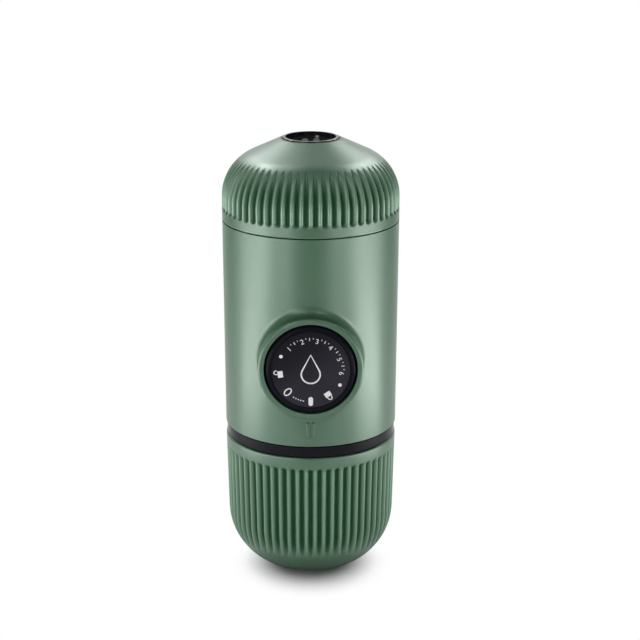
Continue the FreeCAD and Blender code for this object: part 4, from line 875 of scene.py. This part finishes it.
def threaded(finish, name, radius, low, high):
    """A copy of a finish, with a moulded screw thread in relief on the round wall at radius."""
    material = finish.copy()
    material.name = name
    tree = material.node_tree
    shader = tree.nodes["Principled BSDF"]
    split = new_node(tree, "ShaderNodeSeparateXYZ", [(object_place(tree), "Vector")])
    x, y, z = split.outputs["X"], split.outputs["Y"], split.outputs["Z"]
    turn = maths(tree, "DIVIDE", maths(tree, "ARCTAN2", y, x), 2 * math.pi)
    climb = maths(tree, "SUBTRACT", maths(tree, "DIVIDE", z, THREAD_PITCH), turn)
    ridge = soft_step(tree, maths(tree, "PINGPONG", maths(tree, "FRACT", climb), 0.5), 0.10, 0.34)
    squares = maths(tree, "ADD", maths(tree, "MULTIPLY", x, x), maths(tree, "MULTIPLY", y, y))
    off_wall = maths(tree, "SUBTRACT", maths(tree, "SQRT", squares), radius)
    on_wall = maths(tree, "LESS_THAN", maths(tree, "ABSOLUTE", off_wall), THREAD_BAND)
    inside = maths(tree, "MULTIPLY", soft_step(tree, z, low, low + THREAD_FADE),
                   soft_step(tree, z, high, high - THREAD_FADE))
    height = maths(tree, "MULTIPLY", maths(tree, "MULTIPLY", ridge, inside), on_wall)
    relief = new_node(
        tree, "ShaderNodeBump", [(height, "Height")], Strength=0.9, Distance=THREAD_RELIEF)
    tree.links.new(shader.inputs["Normal"].links[0].from_socket, relief.inputs["Normal"])
    tree.links.new(relief.outputs["Normal"], shader.inputs["Normal"])
    return material


dress(threaded(BAND, "liner_plastic", LINER_R, LINER_LOW, LINER_HIGH), "portafilter_liner")


# ---- Filter basket, scoop and shower -----------------------------------------------------------
# Pressed steel basket with a perforated floor, held on a silicone gasket under the brew deck.  The
# steel shower plate is fixed with one screw.  The black scoop is kept in the basket.
SCOOP = black_plastic(
    "scoop_plastic", (0.012, 0.012, 0.013), (0.020, 0.020, 0.021), 0.42, 0.22, 0.45)
FASTENER = steel("screw_steel", (0.60, 0.59, 0.57), 0.22, (1, 1, 4), 0.10)
dress(SHEET_STEEL, "filter_basket", "shower_plate")
dress(SCOOP, "scoop")
dress(FASTENER, "shower_screw")
dress(BLACK_RUBBER, "portafilter_seal")
dress(SILICONE, "basket_gasket")


# ---- Chassis -----------------------------------------------------------------------------------
# Neck with the brew deck, and tank socket, both moulded in glass-filled black nylon and joined by
# four steel screws.  A rubber ring seals the neck, and a silicone valve lets air in the tank.
CHASSIS = black_plastic(
    "filled_nylon", (0.022, 0.022, 0.023), (0.036, 0.036, 0.037), 0.52, 0.45, 0.4)
NECK_R, NECK_LOW, NECK_RISE = 26.0 * MM, 117.8 * MM, 0.2 * MM
SOCKET_R, SOCKET_LOW, SOCKET_HIGH = 26.6 * MM, 54.4 * MM, 61.0 * MM
THREAD_TURNS, THREAD_STEPS = 2, 96
THREAD_HALF = 0.5 * MM


def thread_ridge(name, wall_r, rise, low):
    """A moulded screw thread: one rounded ridge that climbs a wall, half sunk in it."""
    bpy.ops.object.select_all(action="DESELECT")
    bpy.ops.mesh.primitive_circle_add(
        vertices=12, radius=1, location=(wall_r, 0, low), rotation=(math.radians(90), 0, 0))
    ridge = bpy.context.object
    ridge.name = name
    ridge.data.name = name
    ridge.scale = (rise, THREAD_HALF, 1)
    bpy.ops.object.transform_apply(location=True, rotation=True, scale=True)
    climb = ridge.modifiers.new("climb", "SCREW")
    climb.axis = "Z"
    climb.screw_offset = THREAD_PITCH
    climb.iterations = THREAD_TURNS
    climb.steps = THREAD_STEPS
    climb.render_steps = THREAD_STEPS
    bpy.ops.object.modifier_apply(modifier=climb.name)
    bpy.ops.object.mode_set(mode="EDIT")
    bpy.ops.mesh.select_all(action="SELECT")
    bpy.ops.mesh.fill_holes(sides=0)
    close_mesh()
    return ridge


dress(CHASSIS, "neck_ring")
neck_thread = thread_ridge("neck_thread", NECK_R, NECK_RISE, NECK_LOW)
finish_piece(neck_thread, CHASSIS, "main_body", "chassis_grey")
dress(threaded(CHASSIS, "socket_plastic", SOCKET_R, SOCKET_LOW, SOCKET_HIGH), "tank_socket")
dress(FASTENER, "chassis_screws")
dress(BLACK_RUBBER, "neck_seal")
dress(SILICONE, "air_valve")


# ---- Pump --------------------------------------------------------------------------------------
# Black nylon block with a steel-lined barrel.  The dark acetal rod carries a rubber seal.  A steel
# spring pushes it out against the carrier, and silicone and ball valves feed the brew deck.
ACETAL = black_plastic("acetal", (0.030, 0.030, 0.032), (0.042, 0.042, 0.044), 0.36, 0.12, 0.5)
SPRING = steel("spring_steel", (0.50, 0.49, 0.47), 0.18, (3, 3, 3), 0.10)
POLISHED = steel("polished_steel", (0.66, 0.66, 0.65), 0.07, (1, 1, 1), 0.02)
BORE = steel("honed_steel", (0.58, 0.58, 0.57), 0.16, (1, 14, 1), 0.08)
dress(CHASSIS, "pump_block")
dress(BORE, "cylinder_liner")
dress(ACETAL, "piston_rod", "spring_carrier")
dress(BLACK_RUBBER, "piston_seal", "inlet_grommet")
dress(SPRING, "return_spring")
dress(FASTENER, "knob_screw")
dress(SILICONE, "inlet_valve", "outlet_valve_seat", "delivery_tube")
dress(POLISHED, "outlet_ball")

valve_spring = bpy.data.objects.new("valve_spring", nodes["outlet_valve_spring"].data.copy())
valve_spring.data.name = "valve_spring"
valve_spring.data.materials.clear()
scene.collection.objects.link(valve_spring)
bpy.ops.object.select_all(action="DESELECT")
valve_spring.select_set(True)
bpy.context.view_layer.objects.active = valve_spring
bpy.ops.object.mode_set(mode="EDIT")
bpy.ops.mesh.select_all(action="SELECT")
bpy.ops.mesh.remove_doubles(threshold=WELD / 2)
close_mesh()
finish_piece(valve_spring, SPRING, "main_body", "spring_steel", "outlet_valve_spring")
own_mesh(valve_spring)


# ---- Water tank --------------------------------------------------------------------------------
# Smoked clear cup with a thread round its neck, sealed by a silicone ring and screwed in the
# socket.  A rubber ring round its spigot holds the drinking cup.
def smoked_plastic():
    """Clear smoked plastic, faintly hazy, with slow changes in its tint."""
    material, tree, clear = new_material("smoked_plastic")
    place = object_place(tree)
    haze = noise(tree, place, 45, 3.0)
    fine = noise(tree, place, 2600, 2.0)
    tint = colours(tree, haze, 0.3, 0.7, (0.30, 0.31, 0.32), (0.38, 0.39, 0.40))
    tree.links.new(tint, clear.inputs["Base Color"])
    tree.links.new(span(tree, haze, 0.05, 0.14), clear.inputs["Roughness"])
    tree.links.new(bump(tree, fine, 0.04, 0.00003), clear.inputs["Normal"])
    clear.inputs["Transmission Weight"].default_value = 0.9
    clear.inputs["IOR"].default_value = 1.5
    return material


TANK_PLASTIC = smoked_plastic()
TANK_NECK_R, TANK_NECK_LOW, TANK_RISE = 26.2 * MM, 54.1 * MM, 0.3 * MM
dress(TANK_PLASTIC, "water_tank")
tank_thread = thread_ridge("tank_thread", TANK_NECK_R, TANK_RISE, TANK_NECK_LOW)
finish_piece(tank_thread, TANK_PLASTIC, "tank", "tank_smoke")
dress(SILICONE, "tank_gasket")
dress(BLACK_RUBBER, "cup_o_ring")
